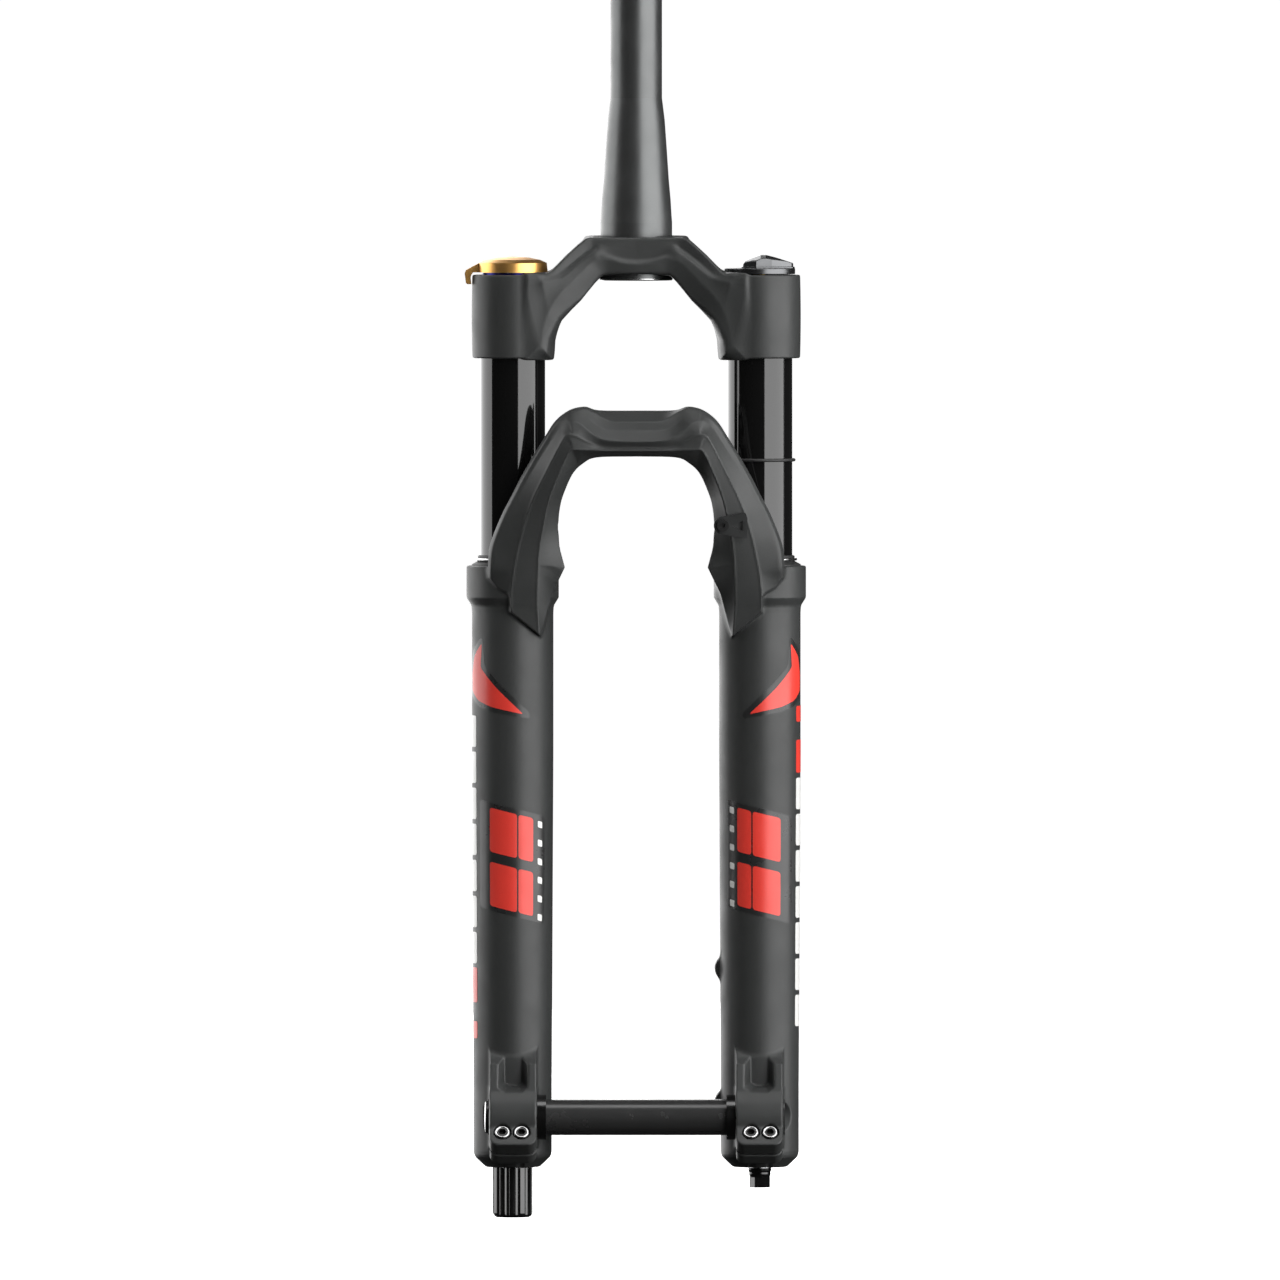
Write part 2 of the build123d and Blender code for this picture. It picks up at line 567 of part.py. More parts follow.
def make_pinch_bolts(side):
    """Two socket-head bolts that close one dropout on the axle."""
    bolts = []
    for pinch_x in PINCH_X:
        plane = lug_frame(side * pinch_x)
        seat = PINCH_SEAT
        head = plane * Pos(0, PINCH_REACH, seat + PINCH_HEAD_H / 2) * Cylinder(PINCH_HEAD_R, PINCH_HEAD_H)
        head = chamfer(head.edges().filter_by(GeomType.CIRCLE).sort_by(Axis.Z)[-1:], 0.5)
        shank_length = PINCH_SEAT + LUG_LOWER - 0.5
        shank = plane * Pos(0, PINCH_REACH, seat - shank_length / 2) * Cylinder(PINCH_SHANK_R, shank_length)
        socket = plane * Pos(0, PINCH_REACH, seat + PINCH_HEAD_H - 2.6) * extrude(RegularPolygon(2.3, 6), 4)
        bolts.append(head + shank - socket)
    return bolts


def make_axle():
    """Hollow 20 mm axle with a hexagon socket in its outer end."""
    low, high = AXLE_ENDS
    axle = bar_x(low + 1.2, high, AXLE_Y, AXLE_Z, AXLE_R) + bar_x(low, low + 1.2, AXLE_Y, AXLE_Z, 9.0)
    axle -= bar_x(low + 12, high - 14, AXLE_Y, AXLE_Z, 7.8)
    socket = Plane(origin=(high - 10, AXLE_Y, AXLE_Z), z_dir=(1, 0, 0)) * RegularPolygon(5.2, 6)
    return axle - extrude(socket, 12)


# ---- every node, and the files ------------------------------------------------------------
NODES = {
    "crown": make_crown(),
    "steerer": make_steerer(),
    "stanchion_damper": make_stanchion(DAMPER_X),
    "stanchion_air": make_stanchion(AIR_X),
    "damper_topcap": make_damper_topcap(),
    "damper_cartridge": make_damper_cartridge(),
    "base_valve": make_base_valve(),
    "spring_seat": make_spring_seat(),
    "floating_piston_spring": make_ifp_spring(),
    "floating_piston": make_floating_piston(),
    "damper_seal_head": make_seal_head(DAMPER_X),
    "air_seal_head": make_seal_head(AIR_X),
    "seal_head_clips": make_seal_head_clips(),
    "top_out_bumpers": make_top_out_bumpers(),
    "bottom_out_bumpers": make_bottom_out_bumpers(),
    "damper_shaft": make_damper_shaft(),
    "rebound_piston": make_rebound_piston(),
    "compression_rod": make_compression_rod(),
    "compression_lever": make_compression_lever(),
    "lever_screw": make_lever_screw(),
    "rebound_rod": make_rebound_rod(),
    "rebound_knob": make_rebound_knob(),
    "air_topcap": make_air_topcap(),
    "valve_stem": make_valve_stem(),
    "valve_pin": make_valve_pin(),
    "air_cap": make_air_cap(),
    "volume_spacers": make_volume_spacers(),
    "air_shaft": make_air_shaft(),
    "air_piston": make_air_piston(),
    "air_piston_seal": make_air_piston_seal(),
    "travel_oring": make_travel_oring(),
    "lower_legs": make_lower_legs(),
    "hose_guide": make_hose_guide(),
    "hose_guide_screw": make_hose_guide_screw(),
    "crush_washers": make_crush_washers(),
    "foot_nut_damper": make_foot_nut_damper(),
    "foot_nut_air": make_foot_nut_air(),
    "hub_ring_left": make_hub_ring(-1),
    "hub_ring_right": make_hub_ring(1),
    "pinch_bolts_left": make_pinch_bolts(-1),
    "pinch_bolts_right": make_pinch_bolts(1),
    "axle": make_axle(),
}
for leg, leg_x in (("damper", DAMPER_X), ("air", AIR_X)):
    NODES[f"wiper_{leg}"] = make_wiper(leg_x)
    NODES[f"wiper_spring_{leg}"] = make_wiper_spring(leg_x)
    NODES[f"foam_ring_{leg}"] = make_foam_ring(leg_x)
    NODES[f"bushing_upper_{leg}"] = make_bushing(leg_x, -200.0)
    NODES[f"bushing_lower_{leg}"] = make_bushing(leg_x, -262.0)

os.makedirs("parts", exist_ok=True)
for name, shape in NODES.items():
    solids = Compound(children=list(shape)) if isinstance(shape, list) else shape
    export_step(solids, f"parts/{name}.step")
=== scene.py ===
import json
import math
import bpy
import bmesh
import numpy as np
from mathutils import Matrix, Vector


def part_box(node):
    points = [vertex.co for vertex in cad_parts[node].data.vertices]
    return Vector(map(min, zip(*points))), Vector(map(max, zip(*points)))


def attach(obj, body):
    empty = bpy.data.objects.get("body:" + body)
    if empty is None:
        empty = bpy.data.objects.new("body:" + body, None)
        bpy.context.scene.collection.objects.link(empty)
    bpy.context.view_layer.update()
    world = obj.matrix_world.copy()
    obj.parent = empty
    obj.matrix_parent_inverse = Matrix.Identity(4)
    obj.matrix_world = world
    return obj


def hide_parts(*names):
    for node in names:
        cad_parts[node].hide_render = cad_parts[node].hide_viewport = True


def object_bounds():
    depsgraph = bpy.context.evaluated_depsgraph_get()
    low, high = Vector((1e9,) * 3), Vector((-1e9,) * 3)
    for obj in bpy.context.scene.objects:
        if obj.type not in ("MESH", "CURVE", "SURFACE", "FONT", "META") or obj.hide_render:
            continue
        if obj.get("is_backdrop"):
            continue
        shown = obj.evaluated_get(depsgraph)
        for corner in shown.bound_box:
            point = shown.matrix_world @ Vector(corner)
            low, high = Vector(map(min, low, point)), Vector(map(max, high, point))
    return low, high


# The looks of a suspension fork. Shapes are worked out in millimetres, in the CAD frame:
# +Z up the steerer, +X towards the air leg, -Y towards the front. Blender gets metres.
MM = 0.001

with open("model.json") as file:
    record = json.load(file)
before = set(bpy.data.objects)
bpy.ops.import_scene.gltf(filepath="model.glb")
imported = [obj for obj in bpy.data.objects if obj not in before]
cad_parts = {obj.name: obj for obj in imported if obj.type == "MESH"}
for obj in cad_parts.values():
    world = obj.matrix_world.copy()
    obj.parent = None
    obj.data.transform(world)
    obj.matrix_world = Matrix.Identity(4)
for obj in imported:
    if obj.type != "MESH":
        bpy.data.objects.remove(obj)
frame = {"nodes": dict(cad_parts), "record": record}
cad_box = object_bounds()


def plain(value):
    """Vectors and tuples as plain lists of numbers."""
    if isinstance(value, (int, float)):
        return float(value)
    return [plain(v) for v in value]


# ---- places taken from the frame ------------------------------------------------------
def box_mm(node):
    low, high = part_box(node)
    return np.array(low) / MM, np.array(high) / MM


LEG_X, LEG_Y = np.mean(box_mm("stanchion_air"), 0)[:2]
AXLE_Y, AXLE_Z = np.mean(box_mm("axle"), 0)[1:]
COLLAR_TOP, LEG_FOOT = -182.0, -515.6
DROPOUT_IN, DROPOUT_OUT = 55.3, 81.1
DROPOUT_MID = (DROPOUT_IN + DROPOUT_OUT) / 2
LUG_TILT = math.radians(40.0)
PINCH_XS, PINCH_REACH, PINCH_SEAT = (63.5, 74.1), 17.8, 4.8
POST_X, POST_Y, POST_ZS = 50.0, 12.0, (-405.4, -479.6)
GUIDE_X, GUIDE_SEAT_Y, GUIDE_Z = 48.0, -50.2, -159.0
ARCH_BACK = -38.7
BORE_END = 84.4             # the axle bore stops here on the damper side
AXLE_BORE_R, AXLE_BOSS_R = 10.05, 17.0
HUB_RING_R, HUB_RING_X, HUB_RING_HALF = 12.8, 47.5, 8.0
LUG_SPLIT = 0.75            # half the width of the slot that the pinch bolts close
PINCH_HOLE_R, PINCH_SEAT_R = 2.6, 4.85
POST_R, POST_HOLE_R, POST_HOLE_DEPTH = 6.5, 2.5, 14.0
GUIDE_PAD_R, GUIDE_HOLE_R, GUIDE_HOLE_DEPTH = 4.3, 1.55, 7.0
FAR = 20.0                  # a distance well outside, where a leg lacks a feature

# Radius of the lowers' legs down their length, and of the bore inside them.
LEG_PROFILE = [
    (-182.0, 25.1), (-182.6, 25.6), (-199.6, 25.6), (-200.4, 25.2), (-203.6, 23.2),
    (-205.0, 22.8), (-208.0, 22.6), (-285.0, 22.6), (-470.0, 21.7), (-506.8, 21.7),
    (-508.6, 21.4), (-510.0, 20.8), (-515.2, 15.4), (-515.7, 14.6)]
BORE_PROFILE = [
    (-181.0, 22.4), (-196.0, 22.4), (-196.1, 19.6), (-290.0, 19.6), (-290.1, 18.6),
    (-474.0, 18.6), (-478.0, 9.0), (-503.0, 9.0), (-503.1, 5.0), (-517.0, 5.0)]


def radius_at(profile, z):
    heights, radii = np.array(profile[::-1]).T
    return np.interp(z, heights, radii)


# ---- distance fields --------------------------------------------------------------------
# Every field gives a distance in millimetres, negative inside. x, y and z broadcast.
def smooth_min(a, b, k):
    h = np.maximum(k - np.abs(a - b), 0) / k
    return np.minimum(a, b) - h * h * k / 4


def smooth_max(a, b, k):
    return -smooth_min(-a, -b, k)


def both(k, *fields):
    """Where all the fields overlap, with edges rounded by about k."""
    result = fields[0]
    for other in fields[1:]:
        result = smooth_max(result, other, k)
    return result


def polygon(u, v, corners):
    """Distance to a closed outline."""
    u, v = np.broadcast_arrays(u, v)
    best = np.full(u.shape, 1e9)
    inside = np.zeros(u.shape, bool)
    ends = corners[1:] + corners[:1]
    for (u0, v0), (u1, v1) in zip(corners, ends):
        du, dv = u1 - u0, v1 - v0
        t = np.clip(((u - u0) * du + (v - v0) * dv) / (du * du + dv * dv), 0, 1)
        best = np.minimum(best, (u - u0 - t * du) ** 2 + (v - v0 - t * dv) ** 2)
        if dv:
            inside ^= ((v0 > v) != (v1 > v)) & (u < du * (v - v0) / dv + u0)
    return np.where(inside, -1, 1) * np.sqrt(best)


def spline(points, per_span=5):
    """A Catmull-Rom curve through points, as a dense polyline."""
    p = np.array(points, float)
    p = np.vstack([2 * p[0] - p[1], p, 2 * p[-1] - p[-2]])
    t = np.arange(per_span)[:, None] / per_span
    spans = []
    for a, b, c, d in zip(p[:-3], p[1:-2], p[2:-1], p[3:]):
        spans.append(0.5 * (2 * b + (c - a) * t + (2 * a - 5 * b + 4 * c - d) * t ** 2
                            + (3 * b - a - 3 * c + d) * t ** 3))
    return np.vstack(spans + [p[-2:-1]])


def along(u, v, line):
    """Distance to a polyline of (u, v, height), the side a point is on, and the height there."""
    u, v = np.broadcast_arrays(u, v)
    best = np.full(u.shape, 1e9)
    side = np.zeros(u.shape)
    height = np.zeros(u.shape)
    for (u0, v0, h0), (u1, v1, h1) in zip(line[:-1], line[1:]):
        du, dv = u1 - u0, v1 - v0
        t = np.clip(((u - u0) * du + (v - v0) * dv) / (du * du + dv * dv), 0, 1)
        away = (u - u0 - t * du) ** 2 + (v - v0 - t * dv) ** 2
        near = away < best
        best = np.where(near, away, best)
        side = np.where(near, du * (v - v0) - dv * (u - u0), side)
        height = np.where(near, h0 + t * (h1 - h0), height)
    return np.sqrt(best), side, height


def relief(u, v, lines):
    """The height of a surface stretched across lines that run side by side."""
    read = [along(u, v, line) for line in lines]
    height = read[0][2]
    for (d0, side, h0), (d1, _, h1) in zip(read[:-1], read[1:]):
        t = d0 / np.maximum(d0 + d1, 1e-6)
        height = np.where(side <= 0, h0 + t * (h1 - h0), height)
    return np.where(read[-1][1] <= 0, read[-1][2], height)


class Chart:
    """A value kept on a flat grid, read back through a smooth quadratic spline."""

    def __init__(self, u_range, v_range, step, make, soften=0):
        self.low = (u_range[0], v_range[0])
        self.step = step
        us = np.arange(u_range[0], u_range[1] + step, step)
        vs = np.arange(v_range[0], v_range[1] + step, step)
        self.values = make(np.abs(us[:, None]), vs[None, :])
        for _ in range(soften):
            padded = np.pad(self.values, 1, mode="edge")
            rows = (padded[:-2] + 2 * padded[1:-1] + padded[2:]) / 4
            self.values = (rows[:, :-2] + 2 * rows[:, 1:-1] + rows[:, 2:]) / 4

    def read(self, u, v):
        u, v = np.broadcast_arrays(u, v)
        weights, firsts = [], []
        for place, low, size in zip((u, v), self.low, self.values.shape):
            at = np.clip((place - low) / self.step, 1, size - 2.001)
            whole = np.floor(at + 0.5)
            part = at - whole
            weights.append((0.5 * (0.5 - part) ** 2, 0.75 - part ** 2, 0.5 * (0.5 + part) ** 2))
            firsts.append(whole.astype(int) - 1)
        total = np.zeros(u.shape)
        for i, wu in enumerate(weights[0]):
            for j, wv in enumerate(weights[1]):
                total += wu * wv * self.values[firsts[0] + i, firsts[1] + j]
        return total


# ---- from a distance field to a mesh -------------------------------------------------------
CORNERS = np.array([(i, j, k) for i in (0, 1) for j in (0, 1) for k in (0, 1)])


def steps(*stops):
    """Grid lines through (start, step), (next start, step) ... and a last (end, None)."""
    lines = []
    for (start, step), (end, _) in zip(stops[:-1], stops[1:]):
        lines.append(np.linspace(start, end, max(2, round((end - start) / step) + 1))[:-1])
    return np.concatenate(lines + [[stops[-1][0]]])


def sample(field, axes, blocks):
    """Field values on a grid. Only the blocks, given as ranges of x, y and z, are worked out."""
    values = np.full([len(a) for a in axes], 9.0, np.float32)
    for block in blocks:
        parts = [slice(*np.searchsorted(a, ends)) for a, ends in zip(axes, block)]
        x, y, z = (a[p] for a, p in zip(axes, parts))
        values[tuple(parts)] = field(x[:, None, None], y[None, :, None], z[None, None, :])
    return values


def net(values, axes):
    """Corners and four-sided faces of the surface where the sampled field crosses zero."""
    inside = values < 0
    counts = sum(inside[i:inside.shape[0] - 1 + i, j:inside.shape[1] - 1 + j, k:inside.shape[2] - 1 + k]
                 .astype(np.int8) for i, j, k in CORNERS)
    mixed = (counts > 0) & (counts < 8)
    index = np.full(mixed.shape, -1)
    index[mixed] = np.arange(mixed.sum())
    cells = np.argwhere(mixed)
    total, hits = np.zeros((len(cells), 3)), np.zeros((len(cells), 1))
    for a in CORNERS:
        for axis in range(3):
            if a[axis]:
                continue
            ca = cells + a
            cb = ca + np.eye(3, dtype=int)[axis]
            va, vb = values[tuple(ca.T)], values[tuple(cb.T)]
            cross = ((va < 0) != (vb < 0))[:, None]
            t = (va / np.where(va == vb, 1, va - vb))[:, None]
            pa = np.stack([axes[n][ca[:, n]] for n in range(3)], 1)
            pb = np.stack([axes[n][cb[:, n]] for n in range(3)], 1)
            total += np.where(cross, pa + t * (pb - pa), 0)
            hits += cross
    faces = []
    for axis in range(3):
        one, two = [n for n in range(3) if n != axis]
        low = [slice(None)] * 3
        high = [slice(None)] * 3
        low[axis], high[axis] = slice(None, -1), slice(1, None)
        edges = np.argwhere(inside[tuple(low)] != inside[tuple(high)])
        edges = edges[(edges[:, one] > 0) & (edges[:, two] > 0)]
        edges = edges[(edges[:, one] < mixed.shape[one]) & (edges[:, two] < mixed.shape[two])]
        outward = inside[tuple(edges.T)]
        back_one, back_two = np.eye(3, dtype=int)[one], np.eye(3, dtype=int)[two]
        ring = [edges - back_one - back_two, edges - back_two, edges, edges - back_one]
        quads = np.stack([index[tuple(c.T)] for c in ring], 1)
        forward = outward if axis != 1 else ~outward
        faces.append(np.where(forward[:, None], quads, quads[:, ::-1]))
    return total / hits, np.vstack(faces)


def settle(field, points, rounds=3, reach=0.5):
    """Points moved onto the field's surface, and the directions it faces there."""
    small = 0.04
    for _ in range(rounds):
        x, y, z = points.T
        here = field(x, y, z)
        slope = np.stack([field(x + small, y, z) - field(x - small, y, z),
                          field(x, y + small, z) - field(x, y - small, z),
                          field(x, y, z + small) - field(x, y, z - small)], 1) / (2 * small)
        size = np.maximum(np.sum(slope ** 2, 1), 0.2)
        points = points - np.clip((here / size)[:, None] * slope, -reach, reach)
    return points, slope / np.sqrt(size)[:, None]


def add_mesh(name, points, faces):
    """A smooth-shaded object from millimetre points."""
    mesh = bpy.data.meshes.new(name)
    mesh.from_pydata((np.asarray(points, float) * MM).tolist(), [], [list(map(int, f)) for f in faces])
    mesh.validate()
    mesh.polygons.foreach_set("use_smooth", np.ones(len(mesh.polygons), bool))
    mesh.update()
    obj = bpy.data.objects.new(name, mesh)
    bpy.context.scene.collection.objects.link(obj)
    return obj


def carve(name, field, axes, blocks):
    points, faces = net(sample(field, axes, blocks), axes)
    points, facing = settle(field, points)
    carved = add_mesh(name, points, faces)
    carved.data.normals_split_custom_set_from_vertices(facing.tolist())
    return carved


def fit_out(obj, body, slot, material, *nodes):
    """Puts a finished piece on its body, in place of CAD nodes. The slot is not used."""
    obj.data.materials.clear()
    obj.data.materials.append(material)
    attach(obj, body)
    if nodes:
        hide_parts(*nodes)
    return obj


# ---- the arch ---------------------------------------------------------------------------
# Each line of the arch is (x, z, y): where it runs in the front view, and how far forward
# it stands. They are drawn from the middle of the bridge down to the foot.
OUTER_EDGE = [
    (0, -95.6, -39.6), (15, -95.6, -39.8), (22.5, -95.2, -41.5), (28.3, -93.4, -45),
    (35.1, -94.5, -45.6), (40.8, -97.7, -45), (45.5, -102.2, -44.2), (49.9, -109, -43.5),
    (57.8, -121.8, -42.5), (63.4, -131.6, -42), (69.1, -142.8, -41.5), (74.8, -154.1, -41),
    (80.9, -169.9, -40.2), (82.2, -182, -39.4), (82.0, -190.4, -36), (80, -205, -32),
    (76, -222, -30)]
FRONT_RIM = [
    (0, -101.6, -50), (8, -101.6, -50), (13.7, -101.3, -49.8), (19, -98.9, -48.6),
    (23.5, -96.0, -47.2), (28.3, -94.4, -47.2), (34.8, -95.7, -48.2), (40.1, -98.9, -48.4),
    (44.6, -103.2, -48), (48.9, -109.5, -47.4), (56.6, -122.3, -46.4), (62.1, -132, -45.8),
    (67.8, -143.3, -45), (73.4, -154.6, -44.4), (79.4, -170.3, -43.5), (80.7, -182.2, -42.6),
    (80.5, -190.6, -39.2), (78.5, -205, -35), (74.5, -222, -33)]
BOWL = [
    (0, -106.6, -52.0), (14, -106.3, -52.2), (22, -103.6, -51.8), (27, -99.6, -51.2),
    (32, -97.8, -50.8), (37, -98.6, -50.6), (41.8, -102.6, -49.6), (46, -108.2, -48.6),
    (55.8, -123.2, -47), (61.2, -132.8, -46.4), (67, -144, -45.5), (72.6, -155.2, -44.8),
    (78.5, -170.6, -43.9), (79.8, -182.2, -42.9), (79.6, -190.7, -39.5), (77.5, -205, -35.3),
    (73.5, -222, -33.2)]
LEDGE = [
    (0, -112.7, -57.8), (10.4, -112.4, -57.8), (18.4, -111.3, -57.6), (25, -107.6, -57),
    (30.7, -102.8, -55.6), (35.8, -100.8, -53.6), (39.6, -102.4, -51.6), (43.0, -106.4, -50.2),
    (47.2, -112.4, -49.0), (54.9, -124.2, -47.6), (60.4, -133.6, -46.9), (66.1, -144.6, -46.0),
    (71.7, -155.8, -45.2), (77.6, -171, -44.2), (78.9, -182.3, -43.2), (78.7, -190.8, -39.8),
    (76.5, -205, -35.6), (72.5, -222, -33.4)]
CREASE_1 = [
    (0, -115.8, -55.2), (18, -115.8, -55.4), (26, -113.2, -57), (33.5, -109.4, -58.2),
    (38, -108.8, -58.2), (41.2, -112.3, -57.4), (49.9, -129.3, -54.4), (57.8, -146.1, -51),
    (63.4, -163.2, -48.0), (67.4, -181.3, -45.2), (69.1, -192.6, -43.2), (69.6, -201.5, -41.4),
    (69.4, -207.5, -40.0), (68, -222, -37)]
CREASE_2 = [
    (0, -117.5, -57.2), (20, -117.5, -57.2), (31, -117.3, -57.8), (36.6, -118.0, -57.8),
    (42, -129.3, -55.8), (47.6, -143.9, -52.8), (51, -158.7, -49.8), (53.8, -174.4, -46.8),
    (54.6, -192.6, -43.4), (54.6, -203.7, -40.6), (54.1, -212, -38.6), (53.4, -220.3, -36.4),
    (53.2, -224, -35)]
INNER_EDGE = [
    (0, -120.9, -52), (21.7, -121.4, -52), (29.4, -124.8, -50), (35.1, -130.5, -47.4),
    (39.7, -140.6, -42.6), (42, -148.3, -40.6), (43.1, -158.7, -39.8), (42.8, -165.5, -39.8),
    (42, -173.2, -40.4), (39.6, -182.4, -41.6), (42.9, -189.8, -39.8), (46.4, -196.8, -37),
    (48.5, -205, -34.4), (51.2, -216, -33.4), (53, -224, -32)]
ARCH_FOOT = [
    (82.2, -184.0), (81.6, -188), (77, -193.5), (71.6, -196.5), (69.9, -199), (69.6, -207.2),
    (53.1, -220.8), (51.2, -215.5), (48.5, -205), (46.4, -196.8), (42.9, -189.6),
    (39.5, -182.5), (42.0, -173.2)]


def arch_outline():
    """The arch's front outline, both sides, as one closed polygon."""
    outer = [(x, z) for x, z, _ in spline(OUTER_EDGE) if z > -183]
    inner = [(x, z) for x, z, _ in spline(INNER_EDGE) if z > -172]
    half = outer + ARCH_FOOT + inner[::-1]
    return half + [(-x, z) for x, z in reversed(half) if x > 0]


ARCH_LINES = [spline(line) for line in (
    OUTER_EDGE, FRONT_RIM, BOWL, LEDGE, CREASE_1, CREASE_2, INNER_EDGE)]
ARCH_SPAN, ARCH_RISE = (-88, 88), (-228, -88)
BEAD_HEIGHT, BEAD_WIDTH = 0.28, 0.5     # the fine raised line along each crease


def arch_relief(x, z):
    """How far forward the arch's front stands, with a fine bead along its two creases."""
    height = relief(x, z, ARCH_LINES)
    for line in ARCH_LINES[4:6]:
        away = along(x, z, line)[0]
        height = height - BEAD_HEIGHT * np.exp(-(away / BEAD_WIDTH) ** 2)
    return height


arch_edge = Chart(ARCH_SPAN, ARCH_RISE, 0.5, lambda x, z: polygon(x, z, arch_outline()))
arch_face = Chart(ARCH_SPAN, ARCH_RISE, 0.3, arch_relief, soften=2)


def arch_field(x, y, z):
    """The arch's plate, hollowed out from behind."""
    edge = arch_edge.read(x, z)
    face = arch_face.read(x, z)
    back = np.interp(z, [-221, -184.5, -182.2], [-22, -22, ARCH_BACK])
    plate = both(0.7, edge, 0.8 * (face - y), y - back)
    hollow = both(1.6, edge + 3.8, face + 5.5 - y, -(z + 178))
    return smooth_max(plate, -hollow, 1.0)


# ---- the lowers -------------------------------------------------------------------------
def leg_field(r, z):
    return both(0.8, r - radius_at(LEG_PROFILE, z), z - COLLAR_TOP, LEG_FOOT - z)


def lug_frame(ahead, up):
    """How far down the tilted pinch lug a point is, and how far over its slot."""
    down = -ahead * math.sin(LUG_TILT) - up * math.cos(LUG_TILT)
    over = -ahead * math.cos(LUG_TILT) + up * math.sin(LUG_TILT)
    return down, over


WEB_SIDE = [
    (-20, -440), (-30.0, -448.5), (-36.5, -454.2), (-41.6, -457.4), (-47.0, -472.5), (-51.6, -482),
    (-45, -500), (-20, -507)]


def dropout_field(x, y, z):
    """The axle clamp ahead of a leg's foot, with its ribs, pocket and split pinch lug."""
    ahead, up = y - AXLE_Y, z - AXLE_Z
    across = np.abs(x - DROPOUT_MID) - (DROPOUT_OUT - DROPOUT_IN) / 2
    reach = np.hypot(ahead, up)
    down, over = lug_frame(ahead, up)
    boss = both(1.0, reach - AXLE_BOSS_R, across)
    web = polygon(y, z, WEB_SIDE)
    rib_face = np.interp(z, [-472.5, -457.4], [-47.0, -41.6])
    spread = 5.0 + 3.2 * np.clip((-36.0 - y) / (-36.0 - rib_face), 0, 1)
    floor = -470.6 + 0.24 * (y + 36)
    beside = np.abs(x - DROPOUT_MID) - spread
    cut_corner = (beside + 3.5) * 0.75
    pocket = both(0.6, beside, np.maximum(floor + np.maximum(cut_corner, 0) - z, y + 35.9))
    web = both(0.8, web, across)
    web = smooth_max(web, -pocket, 1.0)
    corner = np.hypot(np.maximum(across + 5, 0), np.maximum(down - 21.6, 0)) - 5
    lug_side = np.maximum(corner, np.maximum(across, down - 26.6))
    lug = both(0.9, lug_side, np.abs(over - 0.75) - 8.75, -down)
    return smooth_min(smooth_min(boss, web, 1.5), lug, 1.0)


def dropout_cuts(x, y, z, air_side):
    """What is cut from a dropout: the axle bore, the slot, the hub ring's seat, the bolt holes."""
    ahead, up = y - AXLE_Y, z - AXLE_Z
    reach = np.hypot(ahead, up)
    down, over = lug_frame(ahead, up)
    bore = both(0.4, reach - AXLE_BORE_R, np.where(air_side, -9.0, x - BORE_END))
    cut = np.minimum(bore, both(0.5, np.abs(over) - LUG_SPLIT, -down))
    ring_seat = both(0.4, reach - HUB_RING_R, np.abs(x - HUB_RING_X) - HUB_RING_HALF)
    cut = np.minimum(cut, ring_seat)
    for pinch_x in PINCH_XS:
        away = np.hypot(x - pinch_x, down - PINCH_REACH)
        cut = np.minimum(cut, away - PINCH_HOLE_R)
        cut = np.minimum(cut, both(0.4, away - PINCH_SEAT_R, PINCH_SEAT - over))
    return cut


def lowers_field(x, y, z):
    """Both legs, the arch, the dropouts, and on the air leg the brake posts and guide pad."""
    air_side = x > 0
    x = np.abs(x)
    r = np.hypot(x - LEG_X, y - LEG_Y)
    body = leg_field(r, z)
    body = smooth_min(body, arch_field(x, y, z), 2.2)
    body = smooth_min(body, dropout_field(x, y, z), 1.6)
    for post_z in POST_ZS:
        ring = np.hypot(x - POST_X, z - post_z)
        post = both(0.8, ring - POST_R, y - POST_Y, -18 - y)
        body = smooth_min(body, np.where(air_side, post, FAR), 3.0)
        hole = both(0.3, ring - POST_HOLE_R, POST_Y - POST_HOLE_DEPTH - y)
        body = smooth_max(body, -np.where(air_side, hole, FAR), 0.5)
    guide = np.hypot(x - GUIDE_X, z - GUIDE_Z)
    pad = both(0.5, guide - GUIDE_PAD_R, GUIDE_SEAT_Y - y, y + 42)
    body = smooth_min(body, np.where(air_side, pad, FAR), 0.8)
    hole = both(0.3, guide - GUIDE_HOLE_R, y - GUIDE_SEAT_Y - GUIDE_HOLE_DEPTH)
    body = smooth_max(body, -np.where(air_side, hole, FAR), 0.3)
    bore = r - radius_at(BORE_PROFILE, z)
    body = smooth_max(body, -bore, 0.6)
    return smooth_max(body, -dropout_cuts(x, y, z, air_side), 0.5)


def carve_lowers():
    xs = steps((-95, 0.8), (95, None))
    ys = steps((-62, 0.9), (14.5, None))
    zs = steps((-518.5, 0.85), (-444, 4.0), (-228, 0.75), (-90, None))
    top = [(-95, 95), (-62, 13), (-228, -90)]
    legs = [[(low, high), (-62, 14.5), (-518.5, -228)] for low, high in ((-95, -42), (42, 95))]
    return carve("lower_legs_cast", lowers_field, (xs, ys, zs), [top] + legs)


# ---- the crown ----------------------------------------------------------------------------
CROWN_FRONT = [
    (0, 0), (26, 0), (28.3, -0.6), (32.8, -4.4), (38.9, -10), (44.9, -16.1), (47.2, -18.3),
    (49.4, -19.9), (60, -20.7), (60, -66.5), (47.4, -66.5), (46.6, -62.5), (46.1, -57),
    (43.8, -51.5), (41.1, -45.9), (36.1, -40.4), (30.6, -34.9), (26.1, -29.3), (22.3, -24.7),
    (18.4, -20.9), (0, -20.3)]
CROWN_TOP_EDGE = [
    (0, 1, -26.4), (20, 1, -26.8), (28.3, 0.2, -27.8), (38.9, -9.4, -29.8), (47.2, -17.6, -32),
    (54, -20, -35)]
CROWN_VALLEY = [
    (0, -5, -26.5), (14, -4.5, -26.7), (20.5, -3.4, -26.6), (25, -6.5, -26.4),
    (31, -10.8, -27.4), (36.5, -15.2, -29.0), (41, -18.8, -30.8), (45, -20.6, -32.4),
    (54, -21.4, -35.4)]
